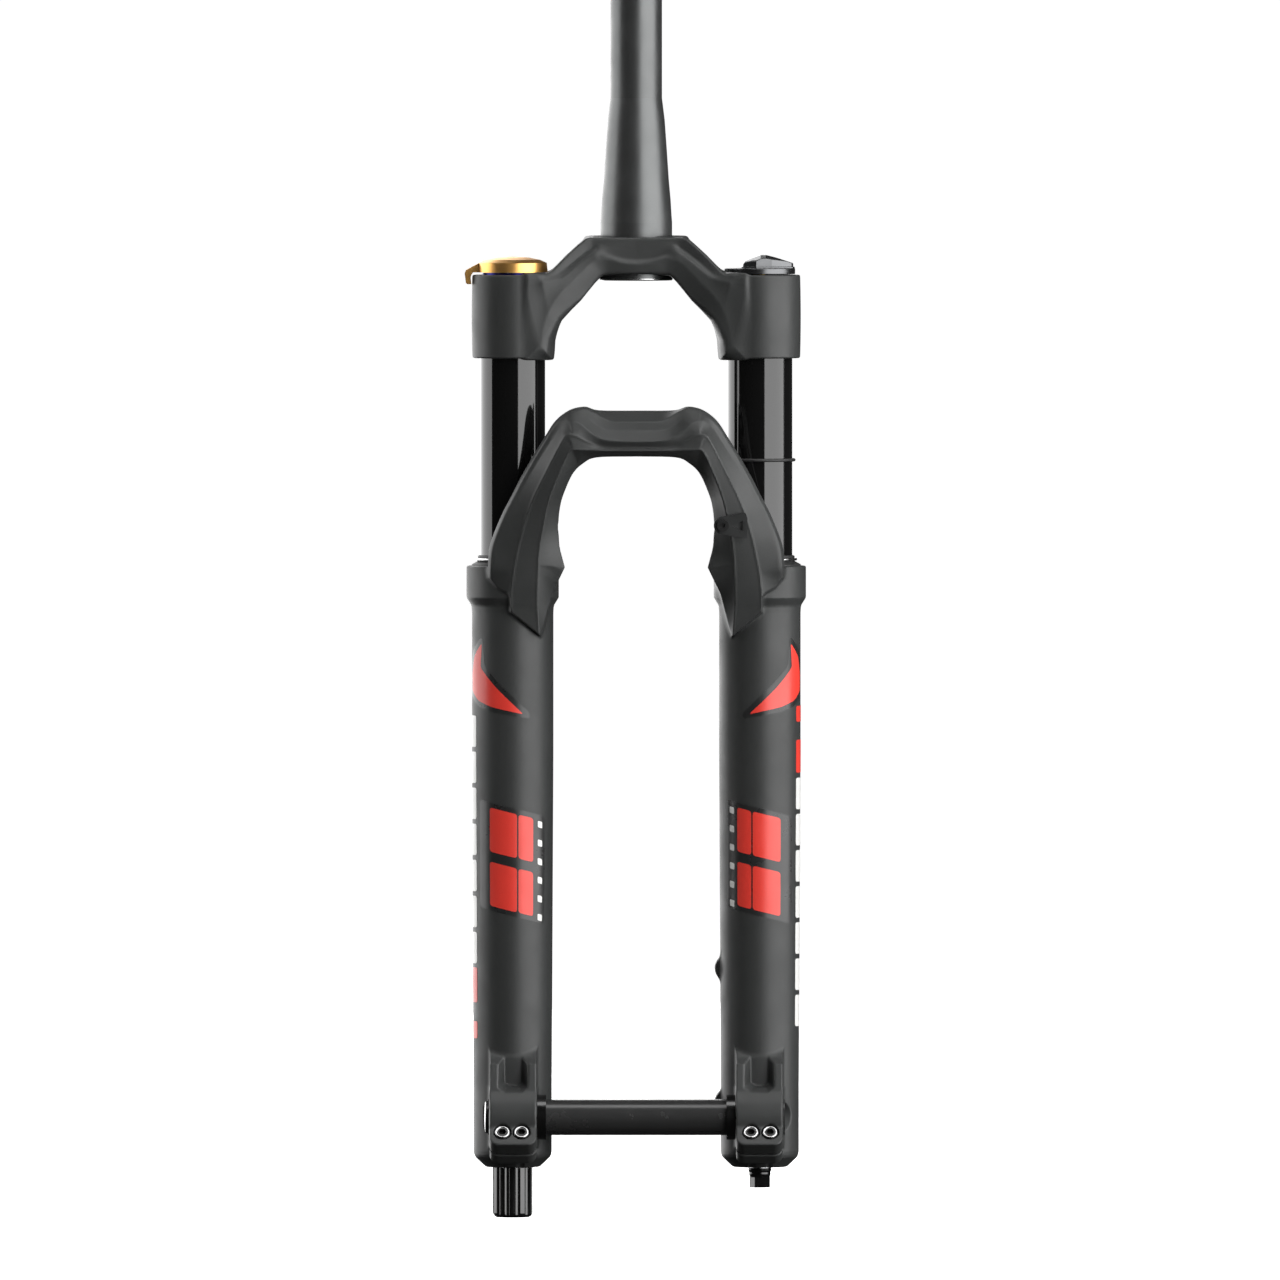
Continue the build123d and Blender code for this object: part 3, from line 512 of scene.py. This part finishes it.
CROWN_STEP = [
    (0, -12.4, -26.6), (8, -11.7, -26.7), (15.4, -9.4, -27.0), (21.5, -7.6, -28.0),
    (26.6, -10.4, -29.0), (32.4, -14.8, -30.4), (38, -19.6, -32.0), (43, -23.0, -33.4),
    (52, -25, -36)]
CROWN_LEDGE = [
    (0, -14.6, -28.8), (7.6, -13.8, -28.8), (15.4, -11.6, -28.7), (20.9, -12.2, -29),
    (25.4, -14.4, -29.6), (30.9, -20, -30.9), (36.4, -25.9, -32.4), (42, -31.2, -33.8),
    (47, -38.5, -34.7), (51, -48, -35.3), (53, -60, -35.8), (53.5, -70, -36)]
CROWN_RIDGE = [
    (0, -19.8, -27.6), (12, -19.0, -27.6), (18, -19.4, -27.6), (25.6, -25.2, -28.4),
    (33, -33.0, -29.9), (40, -40.6, -31.8), (45.8, -49.6, -33.8), (49.0, -61, -35.2),
    (49.6, -69, -35.6)]
CROWN_UNDER = [
    (0, -22.4, -26.2), (17, -22.8, -26.2), (21.4, -26.2, -26.8), (29.6, -36.0, -28.3),
    (40.2, -47.0, -30.1), (45.2, -57.6, -31.6), (45.8, -70, -32.2)]
CROWN_LINES = [spline(line) for line in (
    CROWN_TOP_EDGE, CROWN_VALLEY, CROWN_STEP, CROWN_LEDGE, CROWN_RIDGE, CROWN_UNDER)]
CROWN_PLAN_BACK = [
    (0, 18), (22, 18), (44, 12), (61, 7), (68, -20)]
CLAMP_R, CLAMP_TOP, CLAMP_FOOT = 22.7, -20.75, -67.0
CROWN_BOSS_R, CROWN_BOSS_FOOT = 28.0, -20.3
STEERER_BORE_R, STANCHION_BORE_R, TOPCAP_SEAT_R = 20.62, 18.02, 20.5
CROWN_SPAN, CROWN_RISE = (-96, 96), (-72, 6)


def crown_corners():
    return CROWN_FRONT + [(-x, z) for x, z in reversed(CROWN_FRONT) if x > 0]


crown_edge = Chart(CROWN_SPAN, CROWN_RISE, 0.5, lambda x, z: polygon(x, z, crown_corners()))
crown_face = Chart(CROWN_SPAN, CROWN_RISE, 0.5, lambda x, z: relief(x, z, CROWN_LINES), soften=2)


def crown_field(x, y, z):
    """The arms, the boss round the steerer and the two stanchion clamps, with their bores."""
    x = np.abs(x)
    r = np.hypot(x - LEG_X, y - LEG_Y)
    core = np.hypot(x, y)
    back = y - np.interp(x, *np.array(CROWN_PLAN_BACK).T)
    round_off = np.interp(z, [-60, -32], [7.0, 1.5])
    arms = smooth_max(crown_edge.read(x, z), 0.85 * (crown_face.read(x, z) - y), round_off)
    arms = smooth_max(arms, back, 1.6)
    boss = both(1.5, core - CROWN_BOSS_R, z, CROWN_BOSS_FOOT - z, -y - 16)
    barrel = CLAMP_R - 0.35 * ((z + 44) / 23) ** 2
    clamp = both(1.2, r - barrel, z - CLAMP_TOP, CLAMP_FOOT - z)
    body = smooth_min(smooth_min(arms, boss, 3.0), clamp, 5.0)
    body = smooth_max(body, -both(0.5, r - TOPCAP_SEAT_R, CLAMP_TOP - z), 0.4)
    body = smooth_max(body, STANCHION_BORE_R - r, 0.4)
    return smooth_max(body, STEERER_BORE_R - core, 0.4)


def carve_crown():
    axes = (
        steps((-94, 0.8), (94, None)),
        steps((-41, 0.8), (32, None)),
        steps((-69, 0.7), (2, None)))
    return carve("crown_forging", crown_field, axes, [[(-94, 94), (-41, 32), (-69, 2)]])


# ---- the air cap ----------------------------------------------------------------------------
CAP_PLAN = [
    (-9.3, -4), (-2.0, -10), (6.8, -8.2), (17.6, -1.5), (18.6, 3), (12, 9), (-4, 10), (-9.3, 4)]
CAP_CREST = [
    (-9.3, -14.6), (-8.2, -13.2), (-4.5, -11.6), (0.5, -9.95), (3.5, -9.95), (8.5, -11.2),
    (19.2, -14.6)]


CAP_R = 19.7


def cap_field(x, y, z):
    """A low disc with a faceted grip that points outwards, over a thin rim."""
    across, back = x - LEG_X, y - LEG_Y
    r = np.hypot(across, back)
    disc = both(0.5, r - CAP_R, z + 17.2, -20.4 - z)
    plan = polygon(across, back, CAP_PLAN)
    crest = np.interp(across, *np.array(CAP_CREST).T)
    grip = both(0.6, plan, z - crest + 0.28 * np.maximum(-3 - back, 0), -18 - z)
    rim = both(0.25, plan - 0.9, z + 16.4, -18 - z)
    body = smooth_min(np.minimum(disc, grip), rim, 0.2)
    body = smooth_max(body, r - CAP_R, 0.4)
    return smooth_max(body, -both(0.3, r - 5.0, z + 13.6), 0.3)


def carve_cap():
    axes = (
        steps((47.5, 0.42), (89.5, None)),
        steps((-35, 0.42), (7, None)),
        steps((-21.3, 0.35), (-8.5, None)))
    return carve("air_cap_grip", cap_field, axes, [[(47.5, 89.5), (-35, 7), (-21.3, -8.5)]])


# ---- materials ----------------------------------------------------------------------------
class Finish:
    """One procedural material, built up a layer at a time."""

    def __init__(self, name):
        self.material = bpy.data.materials.new(name)
        self.material.use_nodes = True
        self.tree = self.material.node_tree
        self.shader = self.tree.nodes["Principled BSDF"]
        self.place = self.tree.nodes.new("ShaderNodeTexCoord").outputs["Object"]

    def node(self, kind, **settings):
        made = self.tree.nodes.new(kind)
        for key, value in settings.items():
            if key in made.inputs:
                made.inputs[key].default_value = value
            else:
                setattr(made, key, value)
        return made

    def link(self, start, end):
        self.tree.links.new(start, end)

    def noise(self, scale, stretch=(1, 1, 1), detail=4.0, roughness=0.6):
        mapping = self.node("ShaderNodeMapping")
        mapping.inputs["Scale"].default_value = stretch
        self.link(self.place, mapping.inputs["Vector"])
        noise = self.node("ShaderNodeTexNoise", Scale=scale, Detail=detail, Roughness=roughness)
        self.link(mapping.outputs["Vector"], noise.inputs["Vector"])
        return noise.outputs["Fac"]

    def between(self, value, low, high, from_low=0.3, from_high=0.7):
        spread = self.node("ShaderNodeMapRange")
        ends = {"From Min": from_low, "From Max": from_high, "To Min": low, "To Max": high}
        for key, number in ends.items():
            spread.inputs[key].default_value = number
        self.link(value, spread.inputs["Value"])
        return spread.outputs["Result"]

    def mix(self, factor, first, second):
        blend = self.node("ShaderNodeMix", data_type="RGBA")
        self.link(factor, blend.inputs[0])
        for place, colour in ((6, first), (7, second)):
            if isinstance(colour, tuple):
                blend.inputs[place].default_value = (*colour, 1)
            else:
                self.link(colour, blend.inputs[place])
        return blend.outputs[2]

    def bump(self, height, depth, strength=0.5):
        bump = self.node("ShaderNodeBump", Strength=strength, Distance=depth)
        self.link(height, bump.inputs["Height"])
        self.link(bump.outputs["Normal"], self.shader.inputs["Normal"])


def finish(name, colour, rough, metal=0.0, vary=0.12, grain=1800, stretch=(1, 1, 1), depth=0.00003,
           rough_vary=0.06, wear=0.35, specular=0.5, coat=0.0):
    """A finish with broad tone shifts, fine grain, uneven roughness and light wear."""
    made = Finish(name)
    broad = made.between(made.noise(14, detail=3), 0, 1)
    fine = made.noise(grain, stretch, detail=6, roughness=0.7)
    scuffs = made.between(made.noise(90, (1, 1, 0.35), detail=8, roughness=0.75), 0, wear, 0.60, 0.78)
    darker = tuple(c * (1 - vary) for c in colour)
    lighter = tuple(min(1.0, c * (1 + vary)) for c in colour)
    worn = tuple(min(1.0, c * 1.25 + 0.012) for c in colour)
    tone = made.mix(broad, darker, lighter)
    speck = made.mix(made.between(fine, 0, 1, 0.35, 0.65), tuple(c * 0.93 for c in colour), lighter)
    grained = made.mix(made.between(made.noise(400), 0.2, 0.8), tone, speck)
    made.link(made.mix(scuffs, grained, worn), made.shader.inputs["Base Color"])
    made.link(made.between(made.noise(60, detail=6), rough - rough_vary, rough + rough_vary),
              made.shader.inputs["Roughness"])
    made.shader.inputs["Metallic"].default_value = metal
    made.shader.inputs["Specular IOR Level"].default_value = specular
    made.shader.inputs["Coat Weight"].default_value = coat
    made.bump(fine, depth)
    return made.material


TURNED = (1, 1, 12)          # grain drawn out round the axis, as a lathe leaves it
DRAWN = (9, 9, 0.25)         # grain drawn out along the tube
FINISHES = {
    "matte_casting": finish(
        "matte_casting", (0.036, 0.0375, 0.037), 0.46, vary=0.06, depth=0.00005, specular=0.36),
    "crown_black": finish(
        "crown_black", (0.036, 0.0375, 0.037), 0.44, vary=0.06, depth=0.00003, specular=0.36),
    "steerer_grey": finish(
        "steerer_grey", (0.105, 0.108, 0.108), 0.36, metal=0.75, stretch=TURNED, vary=0.06),
    "stanchion_black": finish(
        "stanchion_black", (0.0045, 0.0045, 0.0045), 0.07, stretch=DRAWN, rough_vary=0.02,
        depth=0.000002, wear=0.12, specular=0.6),
    "gold_anodised": finish(
        "gold_anodised", (0.86, 0.47, 0.14), 0.36, metal=1.0, stretch=TURNED, wear=0.2, depth=0.00001),
    "navy_anodised": finish("navy_anodised", (0.035, 0.035, 0.20), 0.3, metal=0.8, stretch=TURNED),
    "black_anodised": finish(
        "black_anodised", (0.06, 0.06, 0.06), 0.2, metal=0.95, stretch=TURNED, depth=0.00001),
    "smoke_anodised": finish(
        "smoke_anodised", (0.11, 0.112, 0.115), 0.27, metal=0.95, depth=0.00001),
    "axle_black": finish("axle_black", (0.035, 0.035, 0.035), 0.24, stretch=(12, 1, 1), metal=0.2),
    "bare_alloy": finish("bare_alloy", (0.62, 0.63, 0.64), 0.28, metal=1.0, stretch=TURNED),
    "steel": finish("steel", (0.55, 0.55, 0.55), 0.25, metal=1.0, stretch=TURNED),
    "black_steel": finish("black_steel", (0.03, 0.03, 0.03), 0.32, metal=0.6),
    "brass": finish("brass", (0.68, 0.5, 0.2), 0.3, metal=1.0, stretch=TURNED),
    "bushing": finish("bushing", (0.45, 0.32, 0.14), 0.45, metal=0.7, stretch=DRAWN),
    "rubber": finish("rubber", (0.018, 0.018, 0.018), 0.55, depth=0.00004),
    "foam": finish("foam", (0.16, 0.15, 0.13), 0.9, grain=900, depth=0.0003),
    "polymer": finish("polymer", (0.05, 0.06, 0.09), 0.45),
    "black_plastic": finish("black_plastic", (0.02, 0.021, 0.021), 0.34, depth=0.00005),
    "sticker_red": finish(
        "sticker_red", (0.78, 0.05, 0.035), 0.34, vary=0.05, depth=0.00001, wear=0.1),
    "sticker_white": finish(
        "sticker_white", (0.78, 0.78, 0.76), 0.34, vary=0.03, depth=0.00001, wear=0.1),
    "sticker_dark": finish(
        "sticker_dark", (0.022, 0.0225, 0.0225), 0.3, vary=0.05, depth=0.00001, wear=0.15),
}


def dress_cad_nodes():
    """Gives every CAD node the finish of its own material slot."""
    for name, obj in frame["nodes"].items():
        slot = obj.data.materials[0].name.split(".")[0] if obj.data.materials else ""
        if slot not in FINISHES:
            slot = SLOT_OF_NODE.get(name, "bare_alloy")
        obj.data.materials.clear()
        obj.data.materials.append(FINISHES[slot])


SLOT_OF_NODE = {
    node: entry["slot"] for entry in frame["record"]["materials"] for node in entry.get("nodes", [])}
dress_cad_nodes()

fit_out(carve_lowers(), "lowers", "matte_casting", FINISHES["matte_casting"], "lower_legs")
fit_out(carve_crown(), "crown_unit", "crown_black", FINISHES["crown_black"], "crown")
fit_out(carve_cap(), "air_cap", "black_anodised", FINISHES["smoke_anodised"], "air_cap")


# ---- stickers -----------------------------------------------------------------------------
# Plain shapes, drawn on the unrolled leg: (distance round it from the front, z).
def rounded(corners, radius, points=5):
    """A closed outline with its corners turned by small curves."""
    p = np.array(corners, float)
    outline = []
    for before, corner, after in zip(np.roll(p, 1, 0), p, np.roll(p, -1, 0)):
        ends = []
        for other in (before, after):
            reach = np.linalg.norm(other - corner)
            ends.append(corner + (other - corner) * min(radius / reach, 0.45))
        for t in np.linspace(0, 1, points):
            outline.append((1 - t) ** 2 * ends[0] + 2 * t * (1 - t) * corner + t * t * ends[1])
    return outline


def bar(low, high, top, foot, slant=0.0):
    """A four-sided block, whose right edge stands lower than its left by slant times its width."""
    drop = slant * (high - low)
    return [(low, top), (high, top - drop), (high, foot - drop), (low, foot)]


def wrap(name, leg_x, outlines, low, high):
    """Thin closed shells from outlines, wrapped round a leg between two heights above it."""
    mesh = bpy.data.meshes.new(name)
    shell = bmesh.new()
    for outline in outlines:
        shell.faces.new([shell.verts.new((s, 0, z)) for s, z in outline])
    for cut in np.arange(-48, 48, 1.0):
        everything = shell.verts[:] + shell.edges[:] + shell.faces[:]
        bmesh.ops.bisect_plane(shell, geom=everything, plane_co=(cut + 0.013, 0, 0), plane_no=(1, 0, 0))
    raised = bmesh.ops.extrude_face_region(shell, geom=shell.faces[:])["geom"]
    tops = {v for v in raised if isinstance(v, bmesh.types.BMVert)}
    for vert in shell.verts:
        around, z = vert.co.x / STICKER_R, vert.co.z
        r = float(radius_at(LEG_PROFILE, z)) + (high if vert in tops else low)
        vert.co = Vector((leg_x + r * math.sin(around), LEG_Y - r * math.cos(around), z)) * MM
    bmesh.ops.recalc_face_normals(shell, faces=shell.faces[:])
    shell.to_mesh(mesh)
    shell.free()
    obj = bpy.data.objects.new(name, mesh)
    bpy.context.scene.collection.objects.link(obj)
    return obj


STICKER_R = 22.3
SLANT = 0.24
SWOOSH = [
    (19.0, -224.8), (26.5, -232), (30.5, -242), (30, -251), (22, -256.5), (12, -260),
    (-6.0, -264), (9, -249.5), (20, -238)]
SWOOSH_EDGE = [
    (18.5, -220.8), (29.5, -229.5), (33, -242), (32, -253.5), (22.5, -259.5), (12, -262.8),
    (-9.5, -266.5), (-10.0, -263.5), (6, -248.5), (16.6, -237.5)]


def side_blocks(side, spans):
    """Upright blocks on the outer side of a leg."""
    low, high = sorted((side * 24.4, side * 42.0))
    return [rounded(bar(low, high, top, foot), 1.6) for top, foot in spans]


def even_spans(top, foot, count, gap):
    """Equal spans from top to foot, with a gap between each two."""
    pitch = (top - foot + gap) / count
    return [(top - n * pitch, top - n * pitch - pitch + gap) for n in range(count)]


def front_label(side):
    """The tilted front label: its dark ground, its red blocks and its row of white marks."""
    ground = rounded(bar(-21.0, 20.3, -311.0, -370.8, SLANT), 3.0)
    split = -4.4 if side > 0 else 2.9
    red = []
    for top, foot in ((-315.6, -341.6), (-345.6, -371.6)):
        for low, high in ((-13.2, split - 0.4), (split + 0.4, 11.9)):
            drop = SLANT * (low + 13.2)
            red.append(rounded(bar(low, high, top - drop, foot - drop + 1.6, SLANT), 1.8))
    at = -18.6 if side > 0 else 15.0
    white = []
    for n in range(6):
        top = -315.0 - 10.3 * n - SLANT * (at + 18.6)
        white.append(rounded(bar(at, at + 3.2, top, top - 3.6, SLANT), 0.7))
    return ground, red, white


def add_stickers(leg, side):
    """All the stickers of one leg. They are generic: blocks and stripes, no lettering."""
    ground, red, white = front_label(side)
    if side > 0:
        red_sides = [(-259.6, -268.4), (-278.4, -296.7)]
        white_sides = even_spans(-299.5, -437.3, 7, 2.6)
    else:
        red_sides = [(-404.6, -424.0), (-434.5, -444.0)]
        white_sides = even_spans(-265.0, -402.4, 7, 2.6)
    swoosh = [rounded([(side * s, z) for s, z in SWOOSH], 1.6)]
    edge = [rounded([(side * s, z) for s, z in SWOOSH_EDGE], 2.4)]
    groups = [("dark", [ground] + edge, 0.01, 0.07),
              ("red", red + swoosh + side_blocks(side, red_sides), 0.06, 0.14),
              ("white", white + side_blocks(side, white_sides), 0.06, 0.14)]
    for tone, outlines, low, high in groups:
        slot = "sticker_" + tone
        piece = wrap(slot + "_" + leg, side * LEG_X, outlines, low, high)
        fit_out(piece, "lowers", slot, FINISHES[slot])


add_stickers("damper", -1)
add_stickers("air", 1)


# ---- small turned pieces ----------------------------------------------------------------------------
def lathe(name, profile, centre, axis, turns=48):
    """A closed ring: a closed (radius, height) profile turned about an axis."""
    axis = np.array(axis, float) / np.linalg.norm(axis)
    first = np.cross(axis, (1.0, 0.0, 0.0) if abs(axis[0]) < 0.9 else (0.0, 1.0, 0.0))
    first /= np.linalg.norm(first)
    second = np.cross(axis, first)
    angles = np.linspace(0, 2 * math.pi, turns, endpoint=False)
    spokes = np.outer(np.cos(angles), first) + np.outer(np.sin(angles), second)
    points = [np.array(centre) + r * spoke + h * axis for spoke in spokes for r, h in profile]
    count = len(profile)
    faces = []
    for turn in range(turns):
        here, there = turn * count, (turn + 1) % turns * count
        for n in range(count):
            m = (n + 1) % count
            faces.append((here + n, there + n, there + m, here + m))
    return add_mesh(name, points, faces)


HEADS = np.array([0, -math.cos(LUG_TILT), math.sin(LUG_TILT)])
DOWN = np.array([0, -math.sin(LUG_TILT), -math.cos(LUG_TILT)])
PINCH_HEAD = 5.0
RIM_PROFILE = [(2.8, -0.2), (3.95, -0.2), (3.95, 0.02), (3.6, 0.12), (2.9, 0.12)]


def add_bolt_rims():
    """The bright ring machined round each pinch bolt's socket."""
    for side, end in ((-1, "left"), (1, "right")):
        for n, pinch_x in enumerate(PINCH_XS):
            spot = np.array([side * pinch_x, AXLE_Y, AXLE_Z]) + DOWN * PINCH_REACH
            top = spot + HEADS * (PINCH_SEAT + PINCH_HEAD)
            rim = lathe(f"bolt_rim_{end}_{n + 1}", RIM_PROFILE, top, HEADS)
            fit_out(rim, "lowers", "steel", FINISHES["steel"])


add_bolt_rims()


def add_axle_end():
    """The polished dome on the axle's damper end."""
    tip = np.array([box_mm("axle")[0][0], AXLE_Y, AXLE_Z])
    dome = [(0.05, -0.6), (8.9, -0.6), (8.95, 0.1), (8.4, 0.5), (6.5, 0.75), (3.5, 0.92), (0.05, 1.0)]
    end = lathe("axle_end", dome, tip, (-1, 0, 0))
    fit_out(end, "axle", "steel", FINISHES["steel"])


add_axle_end()


def add_steerer_foot():
    """A bright turned ring at the steerer's lower end. The CAD steerer has none."""
    foot = [(17.4, -21.9), (20.2, -21.9), (20.2, -23.7), (19.8, -24.1), (17.8, -24.1), (17.4, -23.7)]
    ring = lathe("steerer_foot", foot, (0, 0, 0), (0, 0, 1), turns=96)
    fit_out(ring, "crown_unit", "steel", FINISHES["steel"])


add_steerer_foot()


# ---- floor, backdrop, camera and lights ---------------------------------------------------
AIM = Vector((0.0021, -0.028, -0.2230))
CAMERA_DISTANCE = 19.7
CAMERA_RISE = math.radians(1.4)
FLOOR_Z = -0.5456
STAGE_REACH, BACKDROP_Y, BACKDROP_TOP = 300, 70, 200
PANEL_REACH = 2.2
KEY_GLOW, RIM_GLOW, TOP_GLOW = 4.2, 2.8, 3.6


def plain_sheet(name, corners, glow):
    """A big plain pale sheet that only the camera sees."""
    mesh = bpy.data.meshes.new(name)
    mesh.from_pydata(corners, [], [(0, 1, 2, 3)])
    sheet = bpy.data.objects.new(name, mesh)
    bpy.context.scene.collection.objects.link(sheet)
    pale = Finish(name)
    tone = pale.mix(pale.between(pale.noise(2), 0, 1), (0.90, 0.90, 0.90), (0.93, 0.93, 0.93))
    pale.link(tone, pale.shader.inputs["Base Color"])
    pale.shader.inputs["Roughness"].default_value = 0.9
    pale.shader.inputs["Emission Color"].default_value = (1, 1, 1, 1)
    pale.shader.inputs["Emission Strength"].default_value = glow
    mesh.materials.append(pale.material)
    sheet.visible_glossy = False
    sheet.visible_diffuse = False
    sheet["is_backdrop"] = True
    return sheet


def add_stage():
    near, far = -STAGE_REACH, STAGE_REACH
    floor = [(near, near, FLOOR_Z), (far, near, FLOOR_Z), (far, far, FLOOR_Z), (near, far, FLOOR_Z)]
    plain_sheet("floor", floor, 1.0)
    backdrop = [
        (near, BACKDROP_Y, FLOOR_Z), (far, BACKDROP_Y, FLOOR_Z),
        (far, BACKDROP_Y, BACKDROP_TOP), (near, BACKDROP_Y, BACKDROP_TOP)]
    plain_sheet("backdrop", backdrop, 1.0)


def add_camera():
    data = bpy.data.cameras.new("camera")
    data.lens = 1000
    data.sensor_width = 36
    data.clip_end = 2000
    camera = bpy.data.objects.new("camera", data)
    away = Vector((0, -math.cos(CAMERA_RISE), math.sin(CAMERA_RISE)))
    camera.location = AIM + CAMERA_DISTANCE * away
    camera.rotation_euler = (math.radians(90) - CAMERA_RISE, 0, 0)
    bpy.context.scene.collection.objects.link(camera)
    bpy.context.scene.camera = camera


def add_light(name, place, aim, size, glow):
    """A softbox of that radiance, so its brightness doesn't change with its size."""
    data = bpy.data.lights.new(name, "AREA")
    data.shape = "RECTANGLE"
    data.size, data.size_y = size
    data.energy = glow * math.pi * size[0] * size[1]
    light = bpy.data.objects.new(name, data)
    light.location = place
    light.rotation_euler = (Vector(aim) - Vector(place)).to_track_quat("-Z", "Y").to_euler()
    light.visible_camera = False
    bpy.context.scene.collection.objects.link(light)


def add_panel(name, turn, size, middle_z, glow):
    """An upright softbox, turned that many degrees to the right of the front."""
    angle = math.radians(turn)
    place = (PANEL_REACH * math.sin(angle), -PANEL_REACH * math.cos(angle), middle_z)
    add_light(name, place, (0, 0, middle_z), size, glow)


def add_lights():
    add_panel("key_softbox", 55, (3.3, 3.2), 0.55, KEY_GLOW)
    add_panel("left_rim", -130, (5.4, 3.2), 0.55, RIM_GLOW)
    add_panel("right_line", 94, (0.07, 3.0), 0.6, RIM_GLOW)
    add_light("top_softbox", (0.1, -0.7, 2.2), (0, 0, -0.2), (2.0, 1.0), TOP_GLOW)
    world = bpy.data.worlds.new("studio")
    world.use_nodes = True
    world.node_tree.nodes["Background"].inputs["Color"].default_value = (0.03, 0.03, 0.03, 1)
    bpy.context.scene.world = world
    bpy.context.scene.view_settings.view_transform = "Standard"


add_stage()
add_camera()
add_lights()

size = {"cad": plain(cad_box), "look": plain(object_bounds())}
